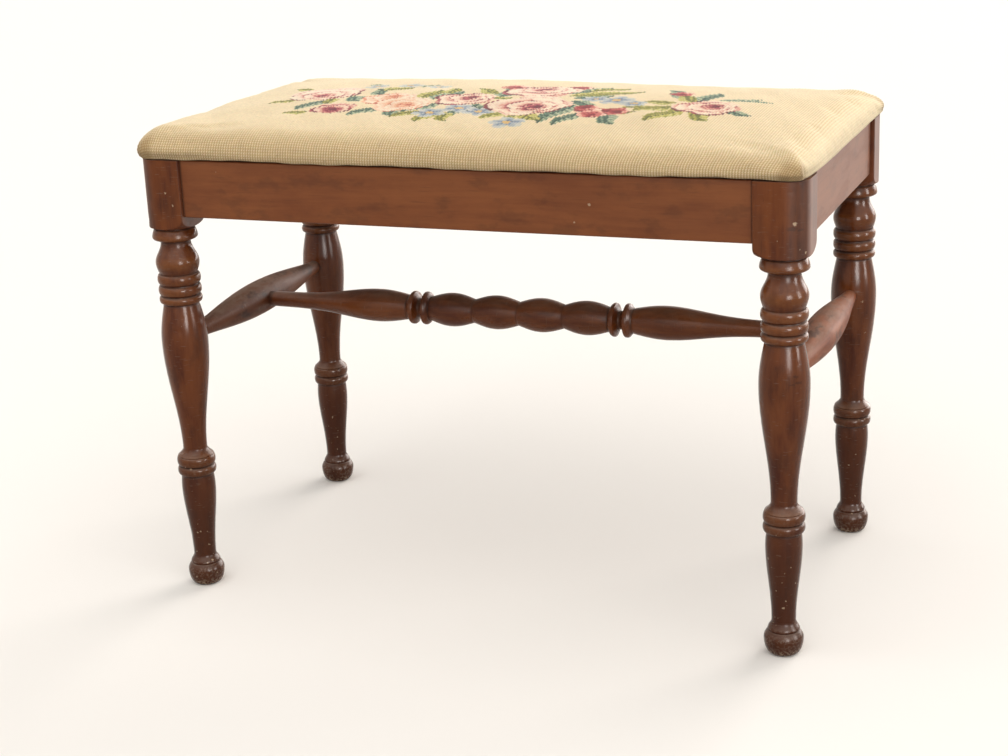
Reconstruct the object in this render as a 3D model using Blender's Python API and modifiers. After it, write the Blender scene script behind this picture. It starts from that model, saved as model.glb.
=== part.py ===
"""Vanity bench: four turned legs, doweled rails, an H stretcher with a beaded bar, and an upholstered seat.

Metres, +Z up. The origin is on the floor under the middle of the bench, +X along its length, -Y to the front.
"""

import math

import bmesh
import bpy
from mathutils import Matrix, Vector

# Clearances
GAP = 0.0003
PADDING_GAP = 0.0010

# Frame layout
LEG_SPACING_X = 0.578
LEG_SPACING_Y = 0.297
LEG_STOCK = 0.0445
BLOCK_CORNER_RADIUS = 0.021
RAIL_HEIGHT = 0.053
RAIL_THICKNESS = 0.020
RAIL_SETBACK = 0.004
RAIL_EDGE_ROUND = 0.0012

# Turned leg, heights of its elements from the floor up
FOOT_BALL_HEIGHT = 0.0215
FOOT_BALL_WIDEST = 0.0148
FOOT_RING_HEIGHT = 0.0080
LOWER_VASE_HEIGHT = 0.0830
LOWER_VASE_WIDEST = 0.0655
LOWER_RING_HEIGHT = 0.0100
LOWER_RING_COUNT = 2
COVE_HEIGHT = 0.0050
VASE_HEIGHT = 0.1440
VASE_WIDEST = 0.1100
UPPER_RING_HEIGHT = 0.0105
UPPER_RING_COUNT = 3
BULB_HEIGHT = 0.0320
BULB_WIDEST = 0.0110
COLLAR_HEIGHT = 0.0100
FILLET_HEIGHT = 0.0020
SHOULDER_HEIGHT = 0.0130
BLOCK_HEIGHT = 0.0675

# Share of a ring's height that is eased at each edge
RING_EASE = 0.28

# Turned leg, diameters of its elements
FOOT_FLAT_DIAMETER = 0.0210
FOOT_BALL_DIAMETER = 0.0350
FOOT_GROOVE_DIAMETER = 0.0250
FOOT_RING_DIAMETER = 0.0262
ANKLE_DIAMETER = 0.0216
LOWER_VASE_DIAMETER = 0.0324
LOWER_VASE_TOP_DIAMETER = 0.0306
LOWER_RING_DIAMETER = 0.0364
LOWER_GROOVE_DIAMETER = 0.0320
NECK_DIAMETER = 0.0230
VASE_DIAMETER = 0.0438
VASE_TOP_DIAMETER = 0.0324
UPPER_RING_DIAMETER = 0.0404
UPPER_GROOVE_DIAMETER = 0.0368
BULB_DIAMETER = 0.0406
BULB_BASE_DIAMETER = 0.0362
BULB_NECK_DIAMETER = 0.0282
COLLAR_DIAMETER = 0.0416
COLLAR_CORE_DIAMETER = 0.0330
FILLET_DIAMETER = 0.0370

# Rail dowels
DOWEL_DIAMETER = 0.0095
DOWEL_IN_LEG = 0.020
DOWEL_IN_RAIL = 0.022
DOWEL_SPACING = 0.026

# Stretchers. They meet the legs just above the widest part of the vase
STRETCHER_RISE = 0.0025
SIDE_MIDDLE_DIAMETER = 0.0332
SIDE_END_DIAMETER = 0.0140
SIDE_TAPER_POWER = 1.6
SIDE_TENON_LENGTH = 0.016
CROSS_END_DIAMETER = 0.0152
CROSS_TENON_LENGTH = 0.012
CROSS_SHIFT = -0.005
BEAD_LENGTH = 0.0462
BEAD_COUNT = 4
BEAD_DIAMETER = 0.0330
BEAD_VALLEY_DIAMETER = 0.0234
CROSS_RING_DIAMETER = 0.0314
CROSS_RING_CORE_DIAMETER = 0.0178
INNER_RING_WIDTH = 0.0085
RING_GROOVE_WIDTH = 0.0040
OUTER_RING_WIDTH = 0.0115
CROSS_VASE_DIAMETER = 0.0324
CROSS_VASE_START_DIAMETER = 0.0246
CROSS_VASE_RISE = 0.0310
CROSS_VASE_FADE = 0.0500
CROSS_VASE_FADES = 2.2

# Corner blocks behind the rails, and the screws in them
CORNER_BLOCK_REACH = 0.052
CORNER_BLOCK_HEIGHT = 0.032
SCREW_HEAD_DIAMETER = 0.0084
SCREW_HEAD_HEIGHT = 0.0026
SCREW_CROWN_SHARE = 0.6
SCREW_SHANK_DIAMETER = 0.0042
SCREW_POINT = 0.004
RAIL_SCREW_CLEAR = 0.007
RAIL_SCREW_GRIP = 0.012
RAIL_SCREW_COVER = 0.006
SEAT_SCREW_COVER = 0.002

# Seat
BOARD_THICKNESS = 0.009
COVER_THICKNESS = 0.002
PAD_OVERHANG = 0.0010
PAD_CORNER_RADIUS = 0.022
PAD_RIDGE_RADIUS = 0.012
PAD_DRAW_IN = 0.0025
PAD_WIDEST = 0.0080
PAD_EDGE_HEIGHT = 0.0260
PAD_EDGE_ROUND = 0.0220
PAD_CROWN = 0.0115
PAD_CORNER_DROP = 0.0090
PAD_CORNER_DROP_POWER = 3
PAD_FIRM_SHARE = 0.3
HEM_WIDTH = 0.038

# Facets
LEG_STEPS = 16
STRETCHER_STEPS = 16
DOWEL_SIDES = 8
SCREW_STEPS = 8
LONG_SIDE_SEGMENTS = 10
SHORT_SIDE_SEGMENTS = 5
CORNER_SEGMENTS = 4
BLOCK_CORNER_SEGMENTS = 6
LONG_SEGMENTS = 6
CURVE_SEGMENTS = 5
RING_SEGMENTS = 4
SHORT_SEGMENTS = 3
TIGHT_SEGMENTS = 2
SIDE_STRETCHER_SEGMENTS = 10
PAD_EDGE_SEGMENTS = 4
CROWN_SHARES = (0.86, 0.66, 0.48, 0.32, 0.20)

# Heights worked out from the stack of leg elements
FOOT_RING_BASE = FOOT_BALL_HEIGHT
LOWER_VASE_BASE = FOOT_RING_BASE + FOOT_RING_HEIGHT
LOWER_RING_BASE = LOWER_VASE_BASE + LOWER_VASE_HEIGHT
COVE_BASE = LOWER_RING_BASE + LOWER_RING_COUNT * LOWER_RING_HEIGHT
VASE_BASE = COVE_BASE + COVE_HEIGHT
UPPER_RING_BASE = VASE_BASE + VASE_HEIGHT
BULB_BASE = UPPER_RING_BASE + UPPER_RING_COUNT * UPPER_RING_HEIGHT
COLLAR_BASE = BULB_BASE + BULB_HEIGHT
FILLET_BASE = COLLAR_BASE + COLLAR_HEIGHT
BLOCK_BASE = FILLET_BASE + FILLET_HEIGHT
FRAME_TOP = BLOCK_BASE + BLOCK_HEIGHT
STRETCHER_Z = VASE_BASE + VASE_WIDEST + STRETCHER_RISE

# Places in plan, as distances from the middle
LEG_X = LEG_SPACING_X / 2
LEG_Y = LEG_SPACING_Y / 2
BLOCK_INNER_X = LEG_X - LEG_STOCK / 2
BLOCK_INNER_Y = LEG_Y - LEG_STOCK / 2
RAIL_OUTER_X = LEG_X + LEG_STOCK / 2 - RAIL_SETBACK
RAIL_OUTER_Y = LEG_Y + LEG_STOCK / 2 - RAIL_SETBACK
RAIL_INNER_X = RAIL_OUTER_X - RAIL_THICKNESS
RAIL_INNER_Y = RAIL_OUTER_Y - RAIL_THICKNESS
RAIL_SCREW_OFFSET = DOWEL_IN_RAIL + RAIL_SCREW_CLEAR
PAD_X = LEG_X + LEG_STOCK / 2 + PAD_OVERHANG
PAD_Y = LEG_Y + LEG_STOCK / 2 + PAD_OVERHANG

# Heights of the seat's layers
RAIL_BOTTOM = FRAME_TOP - RAIL_HEIGHT
CORNER_BLOCK_BOTTOM = FRAME_TOP - CORNER_BLOCK_HEIGHT
COVER_BOTTOM = FRAME_TOP + GAP
BOARD_BOTTOM = COVER_BOTTOM + COVER_THICKNESS + GAP
BOARD_TOP = BOARD_BOTTOM + BOARD_THICKNESS
BOARD_INSET = PAD_DRAW_IN + COVER_THICKNESS + PADDING_GAP

SIDES = {"left": -1, "right": 1}
ENDS = {"front": -1, "rear": 1}

for old in list(bpy.data.objects):
    bpy.data.objects.remove(old)


def new_collection(name):
    collection = bpy.data.collections.new(name)
    bpy.context.scene.collection.children.link(collection)
    return collection


PARTS = new_collection("vanity_bench")
CUTTERS = new_collection("cutters")
CUTTERS.hide_render = True


def material(name, colour, roughness, metallic=0.0):
    made = bpy.data.materials.new(name)
    made.use_nodes = True
    shader = made.node_tree.nodes["Principled BSDF"]
    shader.inputs["Base Color"].default_value = (*colour, 1.0)
    shader.inputs["Roughness"].default_value = roughness
    shader.inputs["Metallic"].default_value = metallic
    return made


LEG_WOOD = material("leg_wood", (0.150, 0.052, 0.026), 0.32)
RAIL_WOOD = material("rail_wood", (0.135, 0.047, 0.025), 0.38)
STRETCHER_WOOD = material("stretcher_wood", (0.120, 0.046, 0.026), 0.40)
BLOCK_WOOD = material("corner_block_wood", (0.36, 0.22, 0.12), 0.70)
DOWEL_WOOD = material("dowel_wood", (0.50, 0.34, 0.19), 0.65)
PLYWOOD = material("plywood", (0.42, 0.27, 0.15), 0.70)
COTTON = material("cotton_batting", (0.75, 0.70, 0.60), 0.95)
NEEDLEPOINT = material("needlepoint", (0.68, 0.52, 0.31), 0.92)
STEEL = material("screw_steel", (0.42, 0.41, 0.39), 0.42, 1.0)


def add_object(name, mesh, finish=None):
    """Links a mesh as a part, or as a hidden cutter where it has no finish."""
    obj = bpy.data.objects.new(name, mesh)
    if finish is None:
        CUTTERS.objects.link(obj)
        obj.hide_render = True
        obj.display_type = "WIRE"
    else:
        PARTS.objects.link(obj)
        mesh.materials.append(finish)
    return obj


def mesh_from(name, made):
    mesh = bpy.data.meshes.new(name)
    made.to_mesh(mesh)
    made.free()
    return mesh


def boolean(target, cutter, operation="DIFFERENCE"):
    modifier = target.modifiers.new(cutter.name, "BOOLEAN")
    modifier.operation = operation
    modifier.solver = "EXACT"
    modifier.object = cutter


def box(name, low, high, finish=None):
    made = bmesh.new()
    bmesh.ops.create_cube(made, size=1.0)
    size = Vector(high) - Vector(low)
    bmesh.ops.scale(made, vec=size, verts=made.verts)
    bmesh.ops.translate(made, vec=(Vector(high) + Vector(low)) / 2, verts=made.verts)
    return add_object(name, mesh_from(name, made), finish)


def round_corners(obj, radius, segments, corners):
    """Bevels the upright edges of a box that lie at the given (x, y) signs of its own middle."""
    mesh = obj.data
    middle = sum((v.co for v in mesh.vertices), Vector()) / len(mesh.vertices)
    weights = mesh.attributes.new("bevel_weight_edge", "FLOAT", "EDGE")
    for edge in mesh.edges:
        first, second = (mesh.vertices[k].co for k in edge.vertices)
        upright = abs(first.z - second.z) > max(abs(first.x - second.x), abs(first.y - second.y))
        place = (math.copysign(1, first.x - middle.x), math.copysign(1, first.y - middle.y))
        weights.data[edge.index].value = float(upright and place in corners)
    bevel = obj.modifiers.new("rounded_corner", "BEVEL")
    bevel.limit_method = "WEIGHT"
    bevel.width = radius
    bevel.segments = segments


def prism(name, outline, bottom, top, finish=None):
    """Extrudes a flat outline from one height to another."""
    made = bmesh.new()
    face = made.faces.new([made.verts.new((x, y, bottom)) for x, y in outline])
    raised = bmesh.ops.extrude_face_region(made, geom=[face])["geom"]
    lifted = [item for item in raised if isinstance(item, bmesh.types.BMVert)]
    bmesh.ops.translate(made, vec=(0, 0, top - bottom), verts=lifted)
    bmesh.ops.recalc_face_normals(made, faces=made.faces)
    return add_object(name, mesh_from(name, made), finish)


def turned(name, profile, steps, finish=None):
    """A lathe piece about Z, from (radius, height) points listed from the top to the bottom."""
    made = bmesh.new()
    points = [made.verts.new((radius, 0, height)) for radius, height in profile]
    for first, second in zip(points, points[1:]):
        made.edges.new((first, second))
    obj = add_object(name, mesh_from(name, made), finish)
    screw = obj.modifiers.new("lathe", "SCREW")
    screw.axis = "Z"
    screw.steps = steps
    screw.render_steps = steps
    screw.use_merge_vertices = True
    screw.merge_threshold = 0.00001
    screw.use_smooth_shade = True
    return obj


def rod(name, start, end, diameter, sides, finish=None):
    """A straight round bar between two points."""
    start = Vector(start)
    run = Vector(end) - start
    made = bmesh.new()
    bmesh.ops.create_cone(
        made, cap_ends=True, segments=sides, radius1=diameter / 2, radius2=diameter / 2, depth=run.length
    )
    obj = add_object(name, mesh_from(name, made), finish)
    turn = run.to_track_quat("Z", "Y").to_matrix().to_4x4()
    obj.matrix_world = Matrix.Translation(start + run / 2) @ turn
    return obj


def ease(start, end, share):
    """Half a cosine wave from start to end."""
    return start + (end - start) * (1 - math.cos(math.pi * share)) / 2


def swell(start, end, share):
    """A quarter ellipse from start to its level crest at end."""
    return start + (end - start) * math.sin(math.pi / 2 * share)


def band(shape, first, last, bottom, top, count):
    """Points down from top to bottom, with the radius shaped from the first diameter to the last."""
    shares = [k / count for k in range(count + 1)]
    return [(shape(first, last, s) / 2, top + (bottom - top) * s) for s in shares]


def bead(core, crest, bottom, top, count):
    """Points down a rounded ring that stands out from a core."""
    angles = [math.pi * k / count for k in range(count + 1)]
    middle = (bottom + top) / 2
    half = (top - bottom) / 2
    return [(ease(core, crest, math.sin(a)) / 2, middle + half * math.cos(a)) for a in angles]


def rings(core, crest, bottom, height, count):
    """Points down a row of flat rings with eased edges, the highest first."""
    points = []
    for k in reversed(range(count)):
        low = bottom + k * height
        for radius, share in ((core, 1), (crest, 1 - RING_EASE), (crest, RING_EASE), (core, 0)):
            points.append((radius / 2, low + height * share))
    return points


def without_repeats(points):
    kept = points[:1]
    for point in points[1:]:
        if math.dist(point, kept[-1]) > GAP / 2:
            kept.append(point)
    return kept


def leg_profile():
    """The lathe's cut from above the square block down to the foot."""
    corner = LEG_STOCK
    above = FRAME_TOP + LEG_STOCK
    shoulder_top = BLOCK_BASE + SHOULDER_HEIGHT
    diagonal = LEG_STOCK * math.sqrt(2)
    points = [(0, above), (corner, above), (corner, shoulder_top + LEG_STOCK / 4)]
    for k in range(RING_SEGMENTS + 1):
        angle = math.pi / 2 * k / RING_SEGMENTS
        reach = FILLET_DIAMETER + (diagonal - FILLET_DIAMETER) * math.cos(angle)
        points.append((reach / 2, shoulder_top - SHOULDER_HEIGHT * math.sin(angle)))
    points.append((FILLET_DIAMETER / 2, FILLET_BASE))
    points += bead(COLLAR_CORE_DIAMETER, COLLAR_DIAMETER, COLLAR_BASE, FILLET_BASE, RING_SEGMENTS)
    bulb_crest = BULB_BASE + BULB_WIDEST
    points += band(ease, BULB_NECK_DIAMETER, BULB_DIAMETER, bulb_crest, COLLAR_BASE, CURVE_SEGMENTS)
    points += band(swell, BULB_BASE_DIAMETER, BULB_DIAMETER, bulb_crest, BULB_BASE, TIGHT_SEGMENTS)[::-1]
    points += rings(
        UPPER_GROOVE_DIAMETER, UPPER_RING_DIAMETER, UPPER_RING_BASE, UPPER_RING_HEIGHT, UPPER_RING_COUNT
    )
    vase_crest = VASE_BASE + VASE_WIDEST
    points += band(swell, VASE_TOP_DIAMETER, VASE_DIAMETER, vase_crest, UPPER_RING_BASE, SHORT_SEGMENTS)
    points += band(ease, VASE_DIAMETER, NECK_DIAMETER, VASE_BASE, vase_crest, LONG_SEGMENTS)
    cove = band(swell, LOWER_GROOVE_DIAMETER, NECK_DIAMETER, VASE_BASE, COVE_BASE, SHORT_SEGMENTS)
    points += cove[::-1]
    points += rings(
        LOWER_GROOVE_DIAMETER, LOWER_RING_DIAMETER, LOWER_RING_BASE, LOWER_RING_HEIGHT, LOWER_RING_COUNT
    )
    lower_crest = LOWER_VASE_BASE + LOWER_VASE_WIDEST
    points += band(
        swell, LOWER_VASE_TOP_DIAMETER, LOWER_VASE_DIAMETER, lower_crest, LOWER_RING_BASE, TIGHT_SEGMENTS
    )
    points += band(ease, LOWER_VASE_DIAMETER, ANKLE_DIAMETER, LOWER_VASE_BASE, lower_crest, CURVE_SEGMENTS)
    points += bead(
        FOOT_GROOVE_DIAMETER, FOOT_RING_DIAMETER, FOOT_RING_BASE, LOWER_VASE_BASE, SHORT_SEGMENTS
    )
    points += band(
        swell, FOOT_GROOVE_DIAMETER, FOOT_BALL_DIAMETER, FOOT_BALL_WIDEST, FOOT_RING_BASE, TIGHT_SEGMENTS
    )
    sole = band(swell, FOOT_FLAT_DIAMETER, FOOT_BALL_DIAMETER, FOOT_BALL_WIDEST, 0, SHORT_SEGMENTS)
    points += sole[::-1]
    points.append((0, 0))
    return without_repeats(points)


def leg(name, side, end):
    """A square blank with a rounded outer corner, turned on the lathe below its block."""
    blank = box(
        name,
        (-LEG_STOCK / 2, -LEG_STOCK / 2, -LEG_STOCK),
        (LEG_STOCK / 2, LEG_STOCK / 2, FRAME_TOP),
        LEG_WOOD,
    )
    round_corners(blank, BLOCK_CORNER_RADIUS, BLOCK_CORNER_SEGMENTS, [(side, end)])
    cut = turned(name + "_lathe_cut", leg_profile(), LEG_STEPS)
    blank.location = cut.location = (side * LEG_X, end * LEG_Y, 0)
    boolean(blank, cut, "INTERSECT")
    return blank


def rail_along_x(name, end):
    inner, outer = sorted((end * RAIL_INNER_Y, end * RAIL_OUTER_Y))
    reach = BLOCK_INNER_X - GAP
    return rounded_rail(name, (-reach, inner, RAIL_BOTTOM), (reach, outer, FRAME_TOP))


def rail_along_y(name, side):
    inner, outer = sorted((side * RAIL_INNER_X, side * RAIL_OUTER_X))
    reach = BLOCK_INNER_Y - GAP
    return rounded_rail(name, (inner, -reach, RAIL_BOTTOM), (outer, reach, FRAME_TOP))


def rounded_rail(name, low, high):
    """A board whose long edges are eased."""
    rail = box(name, low, high, RAIL_WOOD)
    size = Vector(high) - Vector(low)
    long_axis = 0 if size.x > size.y else 1
    weights = rail.data.attributes.new("bevel_weight_edge", "FLOAT", "EDGE")
    for edge in rail.data.edges:
        first, second = (rail.data.vertices[k].co for k in edge.vertices)
        weights.data[edge.index].value = float(abs(first[long_axis] - second[long_axis]) > GAP)
    bevel = rail.modifiers.new("eased_edges", "BEVEL")
    bevel.limit_method = "WEIGHT"
    bevel.width = RAIL_EDGE_ROUND
    bevel.segments = 1
    return rail


def dowel(name, face, along, rail, post):
    """A dowel across the joint between a rail and a leg, with its hole in both."""
    face = Vector(face)
    along = Vector(along)
    start = face - along * DOWEL_IN_RAIL
    end = face + along * DOWEL_IN_LEG
    rod(name, start, end, DOWEL_DIAMETER, DOWEL_SIDES, DOWEL_WOOD)
    hole = rod(
        name + "_hole", start - along * GAP, end + along * GAP, DOWEL_DIAMETER + 2 * GAP, DOWEL_SIDES
    )
    boolean(rail, hole)
    boolean(post, hole)


def side_stretcher_profile():
    """A bar that swells to its middle, with plain ends that enter the legs."""
    tenon_end = LEG_Y - VASE_DIAMETER / 2 + SIDE_TENON_LENGTH
    shoulder = LEG_Y - VASE_DIAMETER / 2
    points = [(0, tenon_end), (SIDE_END_DIAMETER / 2, tenon_end)]
    for k in range(SIDE_STRETCHER_SEGMENTS + 1):
        height = shoulder * (1 - 2 * k / SIDE_STRETCHER_SEGMENTS)
        fullness = max(0.0, 1 - (height / shoulder) ** 2) ** SIDE_TAPER_POWER
        diameter = SIDE_END_DIAMETER + (SIDE_MIDDLE_DIAMETER - SIDE_END_DIAMETER) * fullness
        points.append((diameter / 2, height))
    points += [(SIDE_END_DIAMETER / 2, -tenon_end), (0, -tenon_end)]
    return without_repeats(points)


def cross_half_profile(reach):
    """Half of the beaded bar, from its middle out to a plain tenon that ends at the given reach."""
    points = []
    for k in range(BEAD_COUNT // 2):
        for j in range(CURVE_SEGMENTS + 1):
            s = j / CURVE_SEGMENTS
            diameter = BEAD_VALLEY_DIAMETER + (BEAD_DIAMETER - BEAD_VALLEY_DIAMETER) * math.sin(math.pi * s)
            points.append((diameter / 2, (k + s) * BEAD_LENGTH))
    place = BEAD_COUNT / 2 * BEAD_LENGTH
    points += bead(
        CROSS_RING_CORE_DIAMETER, CROSS_RING_DIAMETER, place + INNER_RING_WIDTH, place, RING_SEGMENTS
    )
    place += INNER_RING_WIDTH + RING_GROOVE_WIDTH
    points += bead(
        CROSS_RING_CORE_DIAMETER, CROSS_RING_DIAMETER, place + OUTER_RING_WIDTH, place, RING_SEGMENTS
    )
    place += OUTER_RING_WIDTH
    crest = place + CROSS_VASE_RISE
    points += band(swell, CROSS_VASE_START_DIAMETER, CROSS_VASE_DIAMETER, crest, place, SHORT_SEGMENTS)
    for k in range(1, LONG_SEGMENTS + 1):
        distance = CROSS_VASE_FADES * CROSS_VASE_FADE * k / LONG_SEGMENTS
        fullness = math.exp(-((distance / CROSS_VASE_FADE) ** 2))
        diameter = CROSS_END_DIAMETER + (CROSS_VASE_DIAMETER - CROSS_END_DIAMETER) * fullness
        if crest + distance < reach - CROSS_TENON_LENGTH:
            points.append((diameter / 2, crest + distance))
    points += [
        (CROSS_END_DIAMETER / 2, reach - CROSS_TENON_LENGTH),
        (CROSS_END_DIAMETER / 2, reach),
        (0, reach),
    ]
    return without_repeats(points)


def cross_stretcher_profile():
    reach = LEG_X - SIDE_MIDDLE_DIAMETER / 2 + CROSS_TENON_LENGTH
    upper = cross_half_profile(reach - CROSS_SHIFT)
    lower = cross_half_profile(reach + CROSS_SHIFT)
    points = [(radius, CROSS_SHIFT + height) for radius, height in reversed(upper)]
    points += [(radius, CROSS_SHIFT - height) for radius, height in lower[1:]]
    return without_repeats(points)


def screw_profile(length, grow=0.0, head_room=0.0):
    """A round-headed wood screw that points up Z from its seat at height 0, or the hole for one."""
    head = SCREW_HEAD_DIAMETER / 2 + grow
    shank = SCREW_SHANK_DIAMETER / 2 + grow
    crown = SCREW_HEAD_HEIGHT + head_room
    points = [(0, length + grow), (shank, length - SCREW_POINT + grow), (shank, grow)]
    if head_room:
        points += [(head, grow), (head, -crown)]
    elif grow:
        points.append((shank, -crown))
    else:
        points += [(head, 0), (head, -crown / 2), (head * SCREW_CROWN_SHARE, -crown)]
    return points + [(0, -crown)]


def screw(name, seat, direction, length, holed, head_room=0.0):
    """Drives a screw from its seat, and makes its hole in the pieces that it holds."""
    turn = Vector(direction).to_track_quat("Z", "Y").to_matrix().to_4x4()
    place = Matrix.Translation(Vector(seat)) @ turn
    made = turned(name, screw_profile(length), SCREW_STEPS, STEEL)
    hole = turned(name + "_hole", screw_profile(length, GAP, head_room), SCREW_STEPS)
    made.matrix_world = hole.matrix_world = place
    for piece in holed:
        boolean(piece, hole)


def corner_block(name, side, end):
    """A glue block notched round the leg, between the two rails of a corner."""
    near_x = BLOCK_INNER_X - GAP
    near_y = BLOCK_INNER_Y - GAP
    rail_x = RAIL_INNER_X - GAP
    rail_y = RAIL_INNER_Y - GAP
    outline = [
        (near_x, rail_y),
        (near_x, near_y),
        (rail_x, near_y),
        (rail_x, near_y - CORNER_BLOCK_REACH),
        (near_x - CORNER_BLOCK_REACH, rail_y),
    ]
    placed = [(side * x, end * y) for x, y in outline]
    return prism(name, placed, CORNER_BLOCK_BOTTOM, FRAME_TOP, BLOCK_WOOD)


def corner_screws(corner, side, end, block, long_rail, short_rail, board):
    """Two screws hold the block to its rails, and one runs up through it into the seat board."""
    middle = CORNER_BLOCK_BOTTOM + CORNER_BLOCK_HEIGHT / 2
    length = RAIL_SCREW_GRIP + RAIL_THICKNESS - RAIL_SCREW_COVER
    x = side * (BLOCK_INNER_X - RAIL_SCREW_OFFSET)
    y = end * (RAIL_INNER_Y - RAIL_SCREW_GRIP - GAP)
    pieces = (block, long_rail)
    screw(corner + "_long_rail_screw", (x, y, middle), (0, end, 0), length, pieces, CORNER_BLOCK_REACH)
    x = side * (RAIL_INNER_X - RAIL_SCREW_GRIP - GAP)
    y = end * (BLOCK_INNER_Y - RAIL_SCREW_OFFSET)
    pieces = (block, short_rail)
    screw(corner + "_short_rail_screw", (x, y, middle), (side, 0, 0), length, pieces, CORNER_BLOCK_REACH)
    slant = RAIL_INNER_Y + BLOCK_INNER_X - CORNER_BLOCK_REACH
    spare = (BLOCK_INNER_X + BLOCK_INNER_Y - slant) / 4
    x = side * (BLOCK_INNER_X - spare)
    y = end * (BLOCK_INNER_Y - spare)
    seat = CORNER_BLOCK_BOTTOM - GAP
    length = BOARD_TOP - SEAT_SCREW_COVER - seat
    screw(corner + "_seat_screw", (x, y, seat), (0, 0, 1), length, (block, board))


def rounded_rectangle(half_x, half_y, radius):
    """Points round a rectangle with rounded corners, the same number whatever its size."""
    points = []
    corners = [(1, 1, 0), (-1, 1, 90), (-1, -1, 180), (1, -1, 270)]
    for k, (sign_x, sign_y, start) in enumerate(corners):
        middle = Vector((sign_x * (half_x - radius), sign_y * (half_y - radius)))
        for j in range(CORNER_SEGMENTS + 1):
            angle = math.radians(start + 90 * j / CORNER_SEGMENTS)
            points.append(middle + radius * Vector((math.cos(angle), math.sin(angle))))
        next_x, next_y, next_start = corners[(k + 1) % 4]
        angle = math.radians(next_start)
        arrival = Vector((next_x * (half_x - radius), next_y * (half_y - radius)))
        arrival += radius * Vector((math.cos(angle), math.sin(angle)))
        spans = LONG_SIDE_SEGMENTS if k % 2 == 0 else SHORT_SIDE_SEGMENTS
        leaving = points[-1]
        points += [leaving.lerp(arrival, j / spans) for j in range(1, spans)]
    return points


def pad_ring(made, inset, height, sag):
    """One outline of the pad, drawn in from its widest line, with its corners a share of the drop lower."""
    half_x = PAD_X - inset
    half_y = PAD_Y - inset
    ring = []
    radius = max(PAD_CORNER_RADIUS - inset, PAD_RIDGE_RADIUS)
    for x, y in rounded_rectangle(half_x, half_y, radius):
        drop = PAD_CORNER_DROP * sag * abs(x / PAD_X * y / PAD_Y) ** PAD_CORNER_DROP_POWER
        ring.append(made.verts.new((x, y, height - drop)))
    return ring


def pad_levels(inside, lowest):
    """(inset, height, sag) from the crown to the pad's widest line, for a skin that far inside the cover."""
    edge = PAD_EDGE_ROUND - inside
    crest = COVER_BOTTOM + PAD_EDGE_HEIGHT - inside
    widest = COVER_BOTTOM + PAD_WIDEST
    levels = []
    for share in CROWN_SHARES:
        inset = PAD_Y * share
        spread = (inset - PAD_EDGE_ROUND) / (PAD_Y - PAD_EDGE_ROUND)
        levels.append((inset, crest + PAD_CROWN * (1 - (1 - spread) ** 2), 1.0))
    start = math.asin(min(1.0, max(0.0, lowest - widest) / (crest - widest)))
    for k in range(PAD_EDGE_SEGMENTS + 1):
        angle = math.pi / 2 + (start - math.pi / 2) * k / PAD_EDGE_SEGMENTS
        inset = inside + edge * (1 - math.cos(angle))
        rise = math.sin(angle)
        sag = max(0.0, rise - PAD_FIRM_SHARE) / (1 - PAD_FIRM_SHARE)
        levels.append((inset, widest + (crest - widest) * rise, sag))
    return levels


def skin(name, levels, finish):
    """A closed skin through level outlines, with a cap on the first and on the last."""
    made = bmesh.new()
    outlines = [pad_ring(made, *level) for level in levels]
    for upper, lower in zip(outlines, outlines[1:]):
        for k in range(len(upper)):
            after = (k + 1) % len(upper)
            made.faces.new((upper[k], lower[k], lower[after], upper[after]))
    made.faces.new(outlines[0])
    made.faces.new(outlines[-1][::-1])
    bmesh.ops.recalc_face_normals(made, faces=made.faces)
    for face in made.faces:
        face.smooth = True
    return add_object(name, mesh_from(name, made), finish)


def needlepoint_cover():
    """The worked cover, drawn over the crown and sides and turned under the board."""
    outside = pad_levels(0.0, 0.0)
    inside = pad_levels(COVER_THICKNESS, 0.0)[::-1]
    hem = PAD_DRAW_IN + HEM_WIDTH
    hem_top = COVER_BOTTOM + COVER_THICKNESS
    turned_under = [
        (PAD_DRAW_IN, COVER_BOTTOM, 0.0),
        (hem, COVER_BOTTOM, 0.0),
        (hem, hem_top, 0.0),
        (PAD_DRAW_IN + COVER_THICKNESS, hem_top, 0.0),
    ]
    return skin("needlepoint_cover", outside + turned_under + inside, NEEDLEPOINT)


def seat_padding():
    """Cotton padding that fills the cover above the board."""
    inside = COVER_THICKNESS + PADDING_GAP
    return skin("seat_padding", pad_levels(inside, BOARD_TOP + GAP), COTTON)


def seat_board():
    half_x = PAD_X - BOARD_INSET
    half_y = PAD_Y - BOARD_INSET
    board = box("seat_board", (-half_x, -half_y, BOARD_BOTTOM), (half_x, half_y, BOARD_TOP), PLYWOOD)
    every_corner = [(side, end) for side in (-1, 1) for end in (-1, 1)]
    round_corners(board, PAD_CORNER_RADIUS - BOARD_INSET, CORNER_SEGMENTS, every_corner)
    return board


# Legs and rails, joined by dowels
legs = {}
for end_name, end in ENDS.items():
    for side_name, side in SIDES.items():
        corner = f"{end_name}_{side_name}"
        legs[corner] = leg(corner + "_leg", side, end)

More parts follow.
